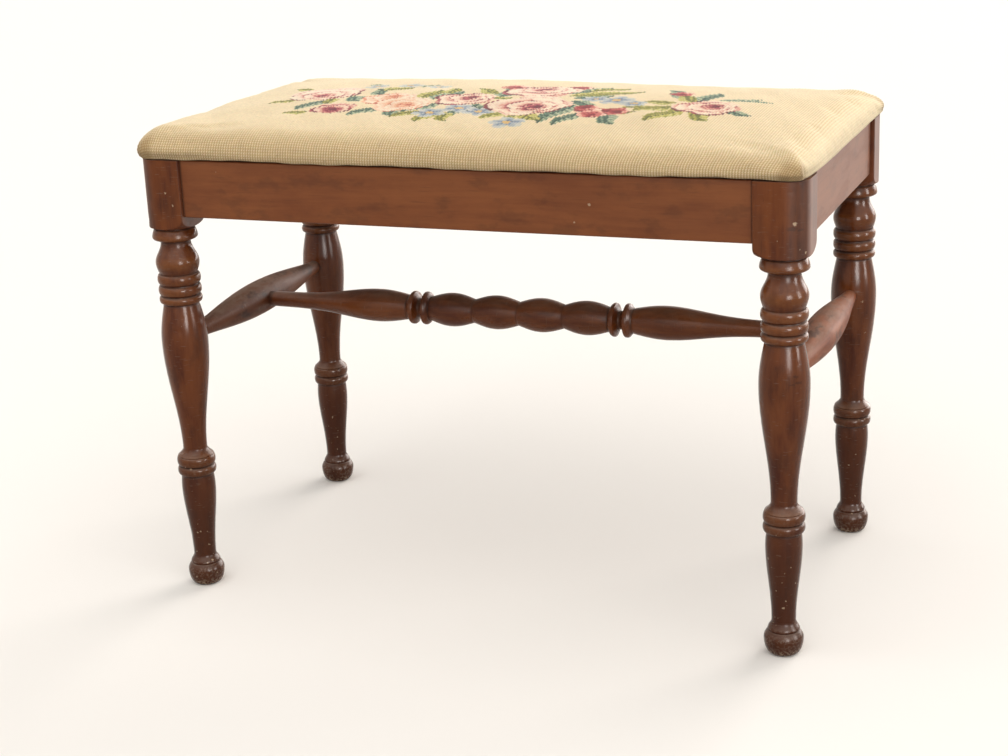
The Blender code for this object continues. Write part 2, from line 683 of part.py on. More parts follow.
long_rails = {name: rail_along_x(name + "_rail", end) for name, end in ENDS.items()}
short_rails = {name: rail_along_y(name + "_rail", side) for name, side in SIDES.items()}
rail_middle = FRAME_TOP - RAIL_HEIGHT / 2
dowel_heights = {"upper": rail_middle + DOWEL_SPACING / 2, "lower": rail_middle - DOWEL_SPACING / 2}
for end_name, end in ENDS.items():
    for side_name, side in SIDES.items():
        post = legs[f"{end_name}_{side_name}"]
        for level, height in dowel_heights.items():
            face = (side * BLOCK_INNER_X, end * (RAIL_OUTER_Y - RAIL_THICKNESS / 2), height)
            rail_name = f"{end_name}_rail_{side_name}_{level}_dowel"
            dowel(rail_name, face, (side, 0, 0), long_rails[end_name], post)
            face = (side * (RAIL_OUTER_X - RAIL_THICKNESS / 2), end * BLOCK_INNER_Y, height)
            rail_name = f"{side_name}_rail_{end_name}_{level}_dowel"
            dowel(rail_name, face, (0, end, 0), short_rails[side_name], post)

# Stretchers, whose plain ends enter round sockets
cross = turned("cross_stretcher", cross_stretcher_profile(), STRETCHER_STEPS, STRETCHER_WOOD)
cross.location = (0, 0, STRETCHER_Z)
cross.rotation_euler = (0, math.pi / 2, 0)
side_tenon_end = LEG_Y - VASE_DIAMETER / 2 + SIDE_TENON_LENGTH
cross_tenon_end = LEG_X - SIDE_MIDDLE_DIAMETER / 2 + CROSS_TENON_LENGTH
for side_name, side in SIDES.items():
    bar = turned(side_name + "_stretcher", side_stretcher_profile(), STRETCHER_STEPS, STRETCHER_WOOD)
    bar.location = (side * LEG_X, 0, STRETCHER_Z)
    bar.rotation_euler = (math.pi / 2, 0, 0)
    socket = rod(
        side_name + "_cross_socket",
        (side * (LEG_X - LEG_STOCK), 0, STRETCHER_Z),
        (side * (cross_tenon_end + GAP), 0, STRETCHER_Z),
        CROSS_END_DIAMETER + 2 * GAP,
        STRETCHER_STEPS,
    )
    boolean(bar, socket)
    for end_name, end in ENDS.items():
        corner = f"{end_name}_{side_name}"
        socket = rod(
            corner + "_socket",
            (side * LEG_X, end * (LEG_Y - LEG_STOCK), STRETCHER_Z),
            (side * LEG_X, end * (side_tenon_end + GAP), STRETCHER_Z),
            SIDE_END_DIAMETER + 2 * GAP,
            STRETCHER_STEPS,
        )
        boolean(legs[corner], socket)

# Seat, and the corner blocks and screws that hold it down
board = seat_board()
seat_padding()
needlepoint_cover()
for end_name, end in ENDS.items():
    for side_name, side in SIDES.items():
        corner = f"{end_name}_{side_name}"
        block = corner_block(corner + "_corner_block", side, end)
        corner_screws(corner, side, end, block, long_rails[end_name], short_rails[side_name], board)
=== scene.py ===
# Vanity bench: turned legs, plain rails, an H stretcher with a beaded bar, and a seat covered in
# needlepoint. Metres, +Z up, in the frame of the CAD model: +X along the bench, -Y to its front.
import functools
import math

import bpy
import numpy as np
from mathutils import Matrix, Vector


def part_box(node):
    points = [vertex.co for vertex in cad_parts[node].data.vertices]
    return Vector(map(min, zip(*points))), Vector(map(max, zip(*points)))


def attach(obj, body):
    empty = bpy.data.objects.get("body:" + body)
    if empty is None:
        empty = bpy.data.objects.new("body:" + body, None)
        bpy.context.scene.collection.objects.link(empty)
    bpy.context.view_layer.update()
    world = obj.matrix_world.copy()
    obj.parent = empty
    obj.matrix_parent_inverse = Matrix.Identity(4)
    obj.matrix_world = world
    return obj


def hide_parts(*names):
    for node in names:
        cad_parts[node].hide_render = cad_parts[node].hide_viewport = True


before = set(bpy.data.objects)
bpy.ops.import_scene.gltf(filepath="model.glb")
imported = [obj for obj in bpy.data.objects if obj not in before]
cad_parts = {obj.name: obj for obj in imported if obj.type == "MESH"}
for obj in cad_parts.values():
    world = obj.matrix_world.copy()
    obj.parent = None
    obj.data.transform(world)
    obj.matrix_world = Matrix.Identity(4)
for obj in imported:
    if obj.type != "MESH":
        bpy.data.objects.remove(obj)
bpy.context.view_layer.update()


# Legs. Each is one length of square maple stock, stained red-brown and lacquered. The lathe leaves a square
# block at the top, whose outer corner is rounded over by hand, and turns the rest into a collar, bulb, rings
# and vases.
LEG_X = 0.289
LEG_Y = 0.1485
LEG_STOCK = 0.0445
LEG_BELLY = 0.0438
BLOCK_CORNER_RADIUS = 0.021
BLOCK_EDGE_POWER = 60
BLOCK_BLEND = 0.00025
FRAME_TOP = 0.4245
TURNED_BELOW = 0.3583
OUTLINE_STEP = 0.0009
POINTS_ROUND_LEG = 104
CORNER_CROWDING = 0.2
SHARP_DEGREES = 40
GROOVE_STEPS = 5
GROOVE_DEPTH = 0.0016
BELLY_DEPTH = 0.0040
MEAN_RADIUS = 0.018
DENT_WIDTHS = (0.0012, 0.0045)
LEG_DENTS = 26
LEG_DENT_DEPTH = 0.00035
CORNERS = {
    "front_left": (-1, -1),
    "front_right": (1, -1),
    "rear_left": (-1, 1),
    "rear_right": (1, 1),
}


def ease(share):
    """Half a cosine wave: level at both ends."""
    return (1 - np.cos(np.pi * share)) / 2


def swell(share):
    """A quarter of a sine wave: steep at first, level at the end."""
    return np.sin(np.pi / 2 * share)


def round_ring(share):
    """A rounded ring: half a circle, a little squared, that rises from nothing and falls back to it."""
    return np.clip(1 - np.abs(2 * share - 1) ** 2.1, 0, 1) ** (1 / 2.1)


def down(shape, first, last, top, bottom, count=40):
    """Points down one element of a turning: a shape carries the first diameter into the last."""
    share = np.linspace(0, 1, count)
    return np.stack([(first + (last - first) * shape(share)) / 2, top + (bottom - top) * share], -1)


def walked(points):
    """How far along a line each of its points lies."""
    return np.concatenate([[0], np.cumsum(np.linalg.norm(np.diff(points, axis=0), axis=1))])


def even_steps(points, step):
    """The same outline, walked along its length in even steps."""
    run = walked(points)
    keep = np.concatenate([[True], np.diff(run) > 1e-7])
    places = np.linspace(0, run[-1], int(run[-1] / step) + 1)
    return np.stack([np.interp(places, run[keep], points[keep, k]) for k in range(points.shape[1])], -1)


def smoothed(values, width):
    """A running mean that keeps the ends."""
    padded = np.pad(values, width, mode="edge")
    return np.convolve(padded, np.full(2 * width + 1, 1 / (2 * width + 1)), "valid")


def cut(first, last, top, bottom):
    """A hollow that starts level and ends steep."""
    return down(lambda share: 1 - swell(1 - share), first, last, top, bottom)


def straight(first, last, top, bottom):
    """A straight stretch from one diameter to another."""
    return np.array([[first / 2, top], [last / 2, bottom]])


def rounded_under(share):
    """A quarter circle: level at first, and upright at the end."""
    return 1 - np.sqrt(np.clip(1 - share ** 2, 0, 1))


def leg_outline():
    """Radius and height from the top of the block to the floor. In the block the radius reaches its
    corners."""
    diagonal = LEG_STOCK * math.sqrt(2)
    block_base, shoulder_top = 0.3590, 0.3705
    turn = np.linspace(0, np.pi / 2, 40)
    fillet = 0.0350
    shoulder = np.stack([
        (fillet + (diagonal - fillet) * np.cos(turn)) / 2,
        shoulder_top - (shoulder_top - block_base) * np.sin(turn),
    ], -1)
    return np.concatenate([
        straight(diagonal, diagonal, FRAME_TOP, shoulder_top),
        shoulder,
        straight(0.0344, 0.0376, 0.3578, 0.3574),
        down(swell, 0.0380, 0.0424, 0.3572, 0.3494, 24),
        down(rounded_under, 0.0424, 0.0316, 0.3494, 0.3464, 24),
        straight(0.0282, 0.0282, 0.3460, 0.3460),
        down(lambda share: ease(share) ** 1.15, 0.0280, 0.0408, 0.3452, 0.3248),
        cut(0.0408, 0.0352, 0.3248, 0.3143),
        straight(0.0348, 0.0348, 0.3141, 0.3141),
        down(round_ring, 0.0356, 0.0406, 0.3139, 0.3041),
        straight(0.0354, 0.0354, 0.3038, 0.3031),
        down(round_ring, 0.0358, 0.0404, 0.3028, 0.2938),
        straight(0.0354, 0.0354, 0.2935, 0.2929),
        down(round_ring, 0.0358, 0.0404, 0.2926, 0.2858),
        down(swell, 0.0330, LEG_BELLY, 0.2856, 0.2475),
        down(ease, LEG_BELLY, 0.0230, 0.2475, 0.1410, 90),
        cut(0.0230, 0.0344, 0.1410, 0.1335),
        straight(0.0334, 0.0334, 0.1333, 0.1329),
        down(round_ring, 0.0334, 0.0368, 0.1328, 0.1238),
        straight(0.0320, 0.0320, 0.1235, 0.1230),
        down(round_ring, 0.0322, 0.0368, 0.1228, 0.1144),
        down(swell, 0.0306, 0.0324, 0.1142, 0.1010),
        down(lambda share: ease(share ** 0.92), 0.0324, 0.0214, 0.1010, 0.0310, 60),
        down(ease, 0.0214, 0.0284, 0.0310, 0.0226),
        straight(0.0272, 0.0272, 0.0224, 0.0220),
        down(swell, 0.0288, 0.0350, 0.0218, 0.0148),
        down(rounded_under, 0.0350, 0.0210, 0.0148, 0.0),
    ])


def block_radius(turn, side, end):
    """Distance from the leg's axis to the faces of its block: a square with eased corners, and one round
    corner."""
    half = LEG_STOCK / 2
    blunt = np.abs(np.cos(turn)) ** BLOCK_EDGE_POWER + np.abs(np.sin(turn)) ** BLOCK_EDGE_POWER
    square = half / blunt ** (1 / BLOCK_EDGE_POWER)
    away = turn - math.atan2(end, side)
    away = np.abs((away + np.pi) % (2 * np.pi) - np.pi)
    middle = (half - BLOCK_CORNER_RADIUS) * math.sqrt(2)
    reach = np.sqrt(np.maximum(BLOCK_CORNER_RADIUS ** 2 - (middle * np.sin(away)) ** 2, 0))
    rounded = middle * np.cos(away) + reach
    return np.where(away < np.pi / 4, np.minimum(square, rounded), square)


def lesser(first, second, blend):
    """The smaller of two lengths, with the corner between them eased."""
    low = np.minimum(first, second)
    return low - blend * np.log(np.exp(-(first - low) / blend) + np.exp(-(second - low) / blend))


def add_object(name, data):
    """Puts a mesh, a light or a camera into the scene."""
    made = bpy.data.objects.new(name, data)
    bpy.context.scene.collection.objects.link(made)
    return made


def add_mesh(name, points, quads, triangles):
    """A smooth mesh from whole arrays of points, quads and triangles."""
    mesh = bpy.data.meshes.new(name)
    corners = np.concatenate([quads.ravel(), triangles.ravel()]).astype(np.int32)
    starts = np.concatenate([
        np.arange(len(quads)) * 4,
        len(quads) * 4 + np.arange(len(triangles)) * 3,
    ]).astype(np.int32)
    mesh.vertices.add(len(points))
    mesh.vertices.foreach_set("co", points.astype(np.float32).ravel())
    mesh.loops.add(len(corners))
    mesh.loops.foreach_set("vertex_index", corners)
    mesh.polygons.add(len(starts))
    mesh.polygons.foreach_set("loop_start", starts)
    mesh.update(calc_edges=True)
    mesh.validate()
    mesh.shade_smooth()
    return add_object(name, mesh)


def closed_skin(name, rows):
    """A closed surface through rings of points, with a fan of triangles over the middle of each end ring."""
    count, around = rows.shape[:2]
    points = np.concatenate([rows.reshape(-1, 3), rows[:1].mean(1), rows[-1:].mean(1)])
    rings = np.arange(count * around).reshape(count, around)
    after = np.roll(rings, -1, axis=1)
    quads = np.stack([rings[:-1], after[:-1], after[1:], rings[1:]], -1).reshape(-1, 4)
    top = np.stack([np.full(around, rings.size), after[0], rings[0]], -1)
    bottom = np.stack([np.full(around, rings.size + 1), rings[-1], after[-1]], -1)
    fans = np.concatenate([top, bottom])
    solid = np.concatenate([quads[:, :3], quads[:, [0, 2, 3]], fans])
    if np.linalg.det(points[solid] - points.mean(0)).sum() < 0:
        quads, fans = quads[:, ::-1], fans[:, ::-1]
    made = add_mesh(name, points, quads, fans)
    made.data.set_sharp_from_angle(angle=math.radians(SHARP_DEGREES))
    return made


def mark(made, name, values):
    """Stores a number for each point, which the material reads."""
    spare = len(made.data.vertices) - values.size
    values = np.concatenate([values.ravel(), np.zeros(spare)]).astype(np.float32)
    made.data.attributes.new(name, "FLOAT", "POINT").data.foreach_set("value", values)


def hollowness(radius):
    """How far a turning lies under its own running mean: above 0 in a groove, under 0 on a crest. A second,
    wider mean marks broad bellies too."""
    narrow = np.clip((smoothed(radius, GROOVE_STEPS) - radius) / GROOVE_DEPTH, -1, 1)
    broad = np.clip((smoothed(radius, 5 * GROOVE_STEPS) - radius) / BELLY_DEPTH, -1, 1)
    return np.clip(narrow + 0.45 * np.minimum(broad, 0), -1, 1)


def dents(rows, axis_height, turn, count, depth, seed):
    """Small knocks: bell-shaped hollows of up to a given depth at scattered heights and angles. An angle
    counts as a length at the mean radius of a turning."""
    draw = np.random.default_rng(seed)
    hollow = np.zeros_like(rows)
    heights = draw.uniform(axis_height.min(), axis_height.max(), count)
    angles = draw.uniform(0, 2 * np.pi, count)
    widths = draw.uniform(*DENT_WIDTHS, count)
    depths = depth * draw.uniform(0.3, 1, count)
    for height, angle, wide, deep in zip(heights, angles, widths, depths):
        swing = (turn - angle + np.pi) % (2 * np.pi) - np.pi
        near = (axis_height[:, None] - height) ** 2 + (swing[None] * MEAN_RADIUS) ** 2
        hollow += deep * np.exp(-near / wide ** 2)
    return hollow


def add_leg(corner, side, end, seed):
    """The leg's outline carried round its axis, with more points near the corners of the block. Where the
    block is narrower than the lathe's cut, the block shows."""
    outline = even_steps(leg_outline(), OUTLINE_STEP)
    radius, height = outline[:, 0], outline[:, 1]
    spread = np.linspace(0, 2 * np.pi, POINTS_ROUND_LEG, endpoint=False) + np.pi / 4
    turn = spread - CORNER_CROWDING * np.sin(4 * (spread - np.pi / 4))
    rows = lesser(radius[:, None], block_radius(turn, side, end)[None], BLOCK_BLEND)
    rows = rows - dents(rows, height, turn, LEG_DENTS, LEG_DENT_DEPTH, seed)
    grid = np.stack([
        side * LEG_X + rows * np.cos(turn),
        end * LEG_Y + rows * np.sin(turn),
        np.broadcast_to(height[:, None], rows.shape),
    ], -1)
    made = closed_skin(f"{corner}_turned_leg", grid)
    groove = np.where(height < TURNED_BELOW, hollowness(radius), 0.0)
    mark(made, "groove", np.broadcast_to(groove[:, None], rows.shape))
    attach(made, "root")
    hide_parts(f"{corner}_leg")
    return made


def new_group(name, inputs, outputs):
    """An empty node group with named inputs, and outputs that are numbers: the group, what it is given, and
    the node that takes its results."""
    group = bpy.data.node_groups.new(name, "ShaderNodeTree")
    for socket, kind in inputs.items():
        group.interface.new_socket(socket, in_out="INPUT", socket_type="NodeSocket" + kind)
    for socket in outputs:
        group.interface.new_socket(socket, in_out="OUTPUT", socket_type="NodeSocketFloat")
    return group, group.nodes.new("NodeGroupInput").outputs, group.nodes.new("NodeGroupOutput")


def feed(made, **given):
    """Gives inputs of a node, by name or by number, a value or a link."""
    for name, value in given.items():
        name = name.strip("_").replace("_", " ")
        socket = made.inputs[int(name) if name.isdigit() else name]
        if isinstance(value, bpy.types.NodeSocket):
            made.id_data.links.new(value, socket)
        elif socket.type == "RGBA":
            socket.default_value = (*value, 1.0)
        else:
            socket.default_value = value


def node(tree, kind, settings=None, **given):
    """Adds a node, sets its properties and feeds its inputs."""
    made = tree.nodes.new("ShaderNode" + kind)
    for key, value in (settings or {}).items():
        setattr(made, key, value)
    feed(made, **given)
    return made


def tree_of(*values):
    """The node tree that the first socket among some values belongs to."""
    return next(value.id_data for value in values if isinstance(value, bpy.types.NodeSocket))


def maths(operation, *values):
    """One sum on values or sockets."""
    given = {f"_{k}": value for k, value in enumerate(values)}
    return node(tree_of(*values), "Math", {"operation": operation}, **given).outputs[0]


def times(*factors):
    """Values multiplied together."""
    return functools.reduce(functools.partial(maths, "MULTIPLY"), factors)


def plus(*terms):
    """Values added up."""
    return functools.reduce(functools.partial(maths, "ADD"), terms)


def mapped(value, low, high, to_low=0.0, to_high=1.0):
    """Carries a value from one range into another, and holds it at the ends."""
    return node(tree_of(value), "MapRange", {"interpolation_type": "SMOOTHSTEP"}, Value=value, From_Min=low,
                From_Max=high, To_Min=to_low, To_Max=to_high).outputs[0]


def mixed(share, first, second):
    """Mixes two colours."""
    tree = tree_of(share, first, second)
    return node(tree, "Mix", {"data_type": "RGBA"}, _0=share, _6=first, _7=second).outputs[2]


def noise(place, scale, detail=4.0, roughness=0.55):
    """Soft random values, at so many waves a metre."""
    return node(tree_of(place), "TexNoise", None, Vector=place, Scale=scale, Detail=detail,
                Roughness=roughness).outputs[0]


def vectors(operation, *values):
    """One sum on places."""
    given = {f"_{k}": value for k, value in enumerate(values)}
    return node(tree_of(*values), "VectorMath", {"operation": operation}, **given).outputs


def stretched(place, factors):
    """A place scaled along each axis: a small factor draws a pattern out."""
    return vectors("MULTIPLY", place, factors)[0]


def torn(place, scale, reach, middle):
    """A place pushed about by fine noise, so that the rim of a mark is ragged."""
    push = node(tree_of(place), "TexNoise", None, Vector=place, Scale=scale, Detail=3.0).outputs["Color"]
    return vectors("MULTIPLY_ADD", vectors("SUBTRACT", push, (middle,) * 3)[0], (reach,) * 3, place)[0]


def facing(tree):
    """Which way the surface looks, as three numbers."""
    return node(tree, "SeparateXYZ", None, Vector=node(tree, "NewGeometry").outputs["Normal"]).outputs


def raised(height, strength, depth):
    """The normal of a surface with small bumps."""
    return node(tree_of(height), "Bump", None, Strength=strength, Distance=depth, Height=height).outputs[0]


def wood_figure_group():
    """Grain of stained maple. Noise drawn out along the length gives streaks, clouds and short pores."""
    group, given, made = new_group("wood_figure", {"Place": "Vector"}, ("Streak", "Cloud", "Pore"))
    place = given["Place"]
    bend = noise(stretched(place, (1, 1, 0.25)), 9.0, 2.0)
    shift = node(group, "CombineXYZ", None, X=times(bend, 0.02), Y=times(bend, 0.014)).outputs[0]
    bent = vectors("ADD", place, shift)[0]
    fine = noise(stretched(bent, (1, 1, 0.035)), 260.0, 3.0, 0.6)
    broad = noise(stretched(bent, (1, 1, 0.05)), 55.0, 3.0, 0.5)
    streak = plus(times(fine, 0.45), times(broad, 0.55))
    cloud = noise(stretched(place, (1, 1, 0.30)), 42.0, 4.0, 0.6)
    pore = noise(stretched(place, (1, 1, 0.045)), 900.0, 2.0, 0.5)
    feed(made, Streak=mapped(streak, 0.36, 0.64), Cloud=mapped(cloud, 0.34, 0.64),
         Pore=mapped(pore, 0.60, 0.74))
    return group


def wear_and_painted_light_group():
    """Years of use, with painted light. Dirt stays in grooves, and where the groove mark stands for a rail's
    joint it is painted shade too. Crests are rubbed paler, chips show bare wood, and what faces up gathers a
    dusting with a painted sheen on it."""
    group, given, made = new_group("wear_and_painted_light", {"Place": "Vector", "Groove": "Float", "Chips": "Float"},
                                   ("Grime", "Rub", "Chip", "Dust", "Scratch"))
    place, groove = given["Place"], given["Groove"]
    patch = noise(place, 60.0, 5.0, 0.65)
    # Dirt in grooves. At the ends of the rails the same mark is painted shade in the joints.
    grime_and_shade = times(mapped(groove, 0.05, 0.8), mapped(patch, 0.2, 0.55, 0.6, 1.0))
    rub = times(mapped(groove, -0.05, -0.40), mapped(patch, 0.28, 0.58))
    spots = node(group, "TexVoronoi", {"feature": "F1"}, Vector=torn(place, 420.0, 0.003, 0.0), Scale=190.0,
                 Randomness=1.0).outputs
    cell = node(group, "SeparateColor", None, Color=spots["Color"]).outputs
    rare = maths("GREATER_THAN", cell[0], maths("SUBTRACT", 1.0, given["Chips"]))
    size = maths("MULTIPLY_ADD", maths("POWER", cell[1], 3.0), 0.20, 0.06)
    chip = times(rare, mapped(maths("DIVIDE", spots["Distance"], size), 1.0, 0.7))
    # A dusting lies on what faces up, and the same mask paints a sheen there, as of bright light from above.
    dust_and_sheen = times(mapped(facing(group)[2], 0.25, 0.95), mapped(patch, 0.25, 0.7, 0.4, 1.0))
    scratch = mapped(noise(stretched(place, (1.0, 1.0, 7.0)), 120.0, 2.0, 0.4), 0.66, 0.72)
    feed(made, Grime=grime_and_shade, Rub=rub, Chip=chip, Dust=dust_and_sheen, Scratch=scratch)
    return group


WOOD_FIGURE = wood_figure_group()
WEAR_AND_PAINTED_LIGHT = wear_and_painted_light_group()
STAIN_DARK = (0.098, 0.0225, 0.0068)
STAIN_MIDDLE = (0.225, 0.0715, 0.0205)
STAIN_LIGHT = (0.310, 0.1080, 0.0330)
# Dark colour of dirt, also used for painted shade in the rail joints and on the rounded block corners.
GRIME_AND_SHADE = (0.018, 0.0075, 0.0045)
RUBBED = (0.300, 0.1220, 0.0430)
BARE_WOOD = (0.56, 0.40, 0.26)
# Pale colour of a dusting. It is also the colour of a painted sheen on what faces up, and of a painted
# highlight on rubbed crests near the floor.
DUST_AND_SHEEN = (0.255, 0.185, 0.140)
FLOOR_SHADE = (0.048, 0.0094, 0.0008)
FLOOR_SHADE_BELOW = 0.22
SCUFFED_BELOW = 0.175
WORN_MOST_BELOW = 0.04
SOLE_TOP = 0.009
DULL_ABOVE = 0.358
DULL_ROUGHNESS = 0.44
END_POLISH_ROUGHNESS = 0.44
CORNER_SHADE = 0.28


def on_leg(corner, angle, height):
    """The place on the skin of a leg at an angle round its axis, in degrees, and a height."""
    side, end = CORNERS[corner]
    turn = math.radians(angle)
    outline = leg_outline()[::-1]
    radius = min(np.interp(height, outline[:, 1], outline[:, 0]), block_radius(turn, side, end))
    return side * LEG_X + radius * math.cos(turn), end * LEG_Y + radius * math.sin(turn), height


def knocks(place, marks, flatten):
    """A mask of single marks on the legs, each with a leg, an angle, a height and a reach, and a torn rim.
    Flattened marks are wider than they are high."""
    moved = torn(place, 600.0, 0.004, 0.5)
    mask = 0.0
    for corner, angle, height, reach in marks:
        off = vectors("SUBTRACT", moved, on_leg(corner, angle, height))[0]
        far = vectors("LENGTH", stretched(off, (1, 1, flatten)))["Value"]
        mask = maths("MAXIMUM", mask, mapped(far, reach, 0.5 * reach))
    return mask


def new_material(name):
    """A material with nodes, its node tree and its shader."""
    made = bpy.data.materials.new(name)
    made.use_nodes = True
    return made, made.node_tree, made.node_tree.nodes["Principled BSDF"]


def stained_wood(name, turn, offset, tone, figured, blotched, chips, dust_and_sheen_share, roughness, gloss,
                 chipped=(), scuffed=(), end_polish=0.0):
    """Stained and lacquered wood whose grain runs along a piece: the figure, then marks of use and painted
    light, under a thin clear finish. Near the floor it is darker with painted shade, with more chips and a
    worn sole. Above the turnings it has gone dull, but for the end faces, which keep some polish, and its
    rounded corners are darkened with painted shade."""
    made, tree, shader = new_material(name)
    whole = node(tree, "TexCoord").outputs["Object"]
    place = node(tree, "Mapping", None, Vector=whole, Rotation=turn, Location=offset).outputs[0]
    height = node(tree, "SeparateXYZ", None, Vector=whole).outputs[2]
    low = mapped(height, SCUFFED_BELOW, WORN_MOST_BELOW)
    upper = mapped(height, DULL_ABOVE, DULL_ABOVE + 0.002)
    figure = node(tree, "Group", {"node_tree": WOOD_FIGURE}, Place=place).outputs
    groove = node(tree, "Attribute", {"attribute_name": "groove"}).outputs["Fac"]
    more_chips = plus(maths("POWER", low, 1.5), chips)
    wear_and_painted_light = node(tree, "Group", {"node_tree": WEAR_AND_PAINTED_LIGHT}, Place=place, Groove=groove, Chips=more_chips).outputs
    dark, middle, light, rubbed = (tuple(np.multiply(tone, shade)) for shade in (
        STAIN_DARK, STAIN_MIDDLE, STAIN_LIGHT, RUBBED))
    colour = mixed(maths("MULTIPLY_ADD", figure["Cloud"], figured, 0.55 * (1 - figured)), dark, middle)
    colour = mixed(times(figure["Streak"], 0.12 + 0.28 * figured), colour, light)
    colour = mixed(times(figure["Pore"], 0.22), colour, GRIME_AND_SHADE)
    colour = mixed(times(wear_and_painted_light["Rub"], 0.72), colour, rubbed)
    # Painted shade: darker towards the floor.
    colour = mixed(mapped(height, FLOOR_SHADE_BELOW, WORN_MOST_BELOW, 0.0, 0.82), colour, FLOOR_SHADE)
    speckle = mapped(noise(whole, 430.0), 0.46, 0.62)
    # Painted highlight: rubbed crests near the floor get a pale line, as of a reflection, over the real
    # rubbing.
    colour = mixed(times(wear_and_painted_light["Rub"], low, speckle, 0.34), colour, DUST_AND_SHEEN)
    # Dirt in grooves, and painted shade in the rail joints.
    colour = mixed(times(wear_and_painted_light["Grime"], 0.62), colour, GRIME_AND_SHADE)
    lain = noise(stretched(place, (1, 1, 0.4)), 85.0, 4.0, 0.65)
    lain = mapped(lain, 0.38, 0.60, 1.0 - blotched, 1.0)
    # A dusting on what faces up, mixed with a painted sheen there.
    colour = mixed(times(wear_and_painted_light["Dust"], lain, dust_and_sheen_share), colour, DUST_AND_SHEEN)
    blotch = noise(stretched(place, (1, 1, 0.5)), 62.0, 4.0, 0.6)
    colour = mixed(mapped(blotch, 0.50, 0.66, 0.0, blotched), colour, GRIME_AND_SHADE)
    colour = mixed(times(wear_and_painted_light["Scratch"], 0.35 * dust_and_sheen_share), colour, DUST_AND_SHEEN)
    sole = times(mapped(height, SOLE_TOP, 0.001), speckle)
    bare = times(maths("MAXIMUM", wear_and_painted_light["Chip"], sole), 0.7)
    if scuffed:
        colour = mixed(times(knocks(whole, scuffed, 2.6), 0.42), colour, GRIME_AND_SHADE)
    if chipped:
        bare = maths("MAXIMUM", bare, knocks(whole, chipped, 1.0))
    if end_polish:
        sideways, ahead = (maths("ABSOLUTE", value) for value in facing(tree)[:2])
        # Painted shade on the rounded corners of the blocks, picked out by the way the surface faces.
        shaded_corner = mapped(times(sideways, ahead), 0.20, 0.46, 0.0, CORNER_SHADE)
        colour = mixed(times(shaded_corner, upper), colour, GRIME_AND_SHADE)
        at_end = mapped(sideways, 0.90, 0.985, 0.0, end_polish)
        feed(shader, Coat_Weight=times(at_end, upper), Coat_Roughness=END_POLISH_ROUGHNESS)
    colour = mixed(times(bare, 0.85), colour, BARE_WOOD)
    rough = plus(mapped(figure["Cloud"], 0.0, 1.0, roughness + 0.05, roughness - 0.05),
                 times(wear_and_painted_light["Dust"], 0.4 * dust_and_sheen_share), times(wear_and_painted_light["Grime"], 0.25))
    relief = plus(times(figure["Streak"], 0.15), times(figure["Pore"], -0.3), times(bare, -1.2),
                  times(wear_and_painted_light["Scratch"], -0.3))
    feed(shader, Base_Color=colour, Roughness=maths("MAXIMUM", rough, times(upper, DULL_ROUGHNESS)),
         Specular_IOR_Level=gloss, Normal=raised(relief, 0.3, 0.0003))
    return made


LEG_TONE = (0.69, 0.565, 0.44)
UPRIGHT = (0.0, 0.0, 0.0)
LEG_CHIPS = (
    ("front_right", -56, 0.3900, 0.0021),
    ("front_right", -28, 0.3650, 0.0013),
    ("front_right", -44, 0.3680, 0.0011),
    ("front_left", -72, 0.3945, 0.0013),
    ("front_left", -58, 0.3830, 0.0012),
    ("rear_right", -56, 0.2450, 0.0012),
    ("rear_right", -43, 0.2125, 0.0006),
)
LEG_SCUFFS = (
    ("front_right", -62, 0.3860, 0.0060),
    ("front_right", -42, 0.3845, 0.0040),
    ("front_right", -51, 0.2595, 0.0036),
    ("front_right", -44, 0.2540, 0.0045),
    ("front_right", -60, 0.2530, 0.0030),
)
leg_wood = stained_wood("leg_wood", UPRIGHT, (0.0, 0.0, 0.0), LEG_TONE, figured=1.0, blotched=0.22,
                        chips=0.012, dust_and_sheen_share=0.48, roughness=0.21, gloss=0.20, chipped=LEG_CHIPS,
                        scuffed=LEG_SCUFFS, end_polish=0.6)
for seed, (corner, (side, end)) in enumerate(CORNERS.items()):
    add_leg(corner, side, end, seed).data.materials.append(leg_wood)


# Rails. Four planed boards between the leg blocks, set back a little from their faces, with eased edges.
# Two dowels at each end hold them, which stay out of sight inside the wood.
RAIL_EDGE = 0.0014
RAIL_STEPS = 88
PLANED_DEPTH = 0.003
JOINT_DIRT_AND_SHADE = 0.0024
JOINT_STEPS = np.array([0, 0.0005, 0.0012, 0.0022, 0.0034, 0.0050])
RAIL_TONE = (1.14, 1.14, 1.20)
ALONG_X = (0.0, math.pi / 2, 0.0)
ALONG_Y = (math.pi / 2, 0.0, 0.0)


def rounded_section(half_wide, half_high, radius, corner_steps=5, side_steps=8):
    """Points round a rectangle with rounded corners, closer together at the corners."""
    angle = np.linspace(0, np.pi / 2, corner_steps + 1)
    arc = radius * np.stack([np.cos(angle), np.sin(angle)], -1) + (half_wide - radius, half_high - radius)
    corners = [arc, arc[::-1] * (-1, 1), -arc, arc[::-1] * (1, -1)]
    share = np.linspace(0, 1, side_steps + 1)[1:-1, None]
    sides = [corners[k][-1] + (corners[(k + 1) % 4][0] - corners[k][-1]) * share for k in range(4)]
    return np.concatenate([part for pair in zip(corners, sides) for part in pair])


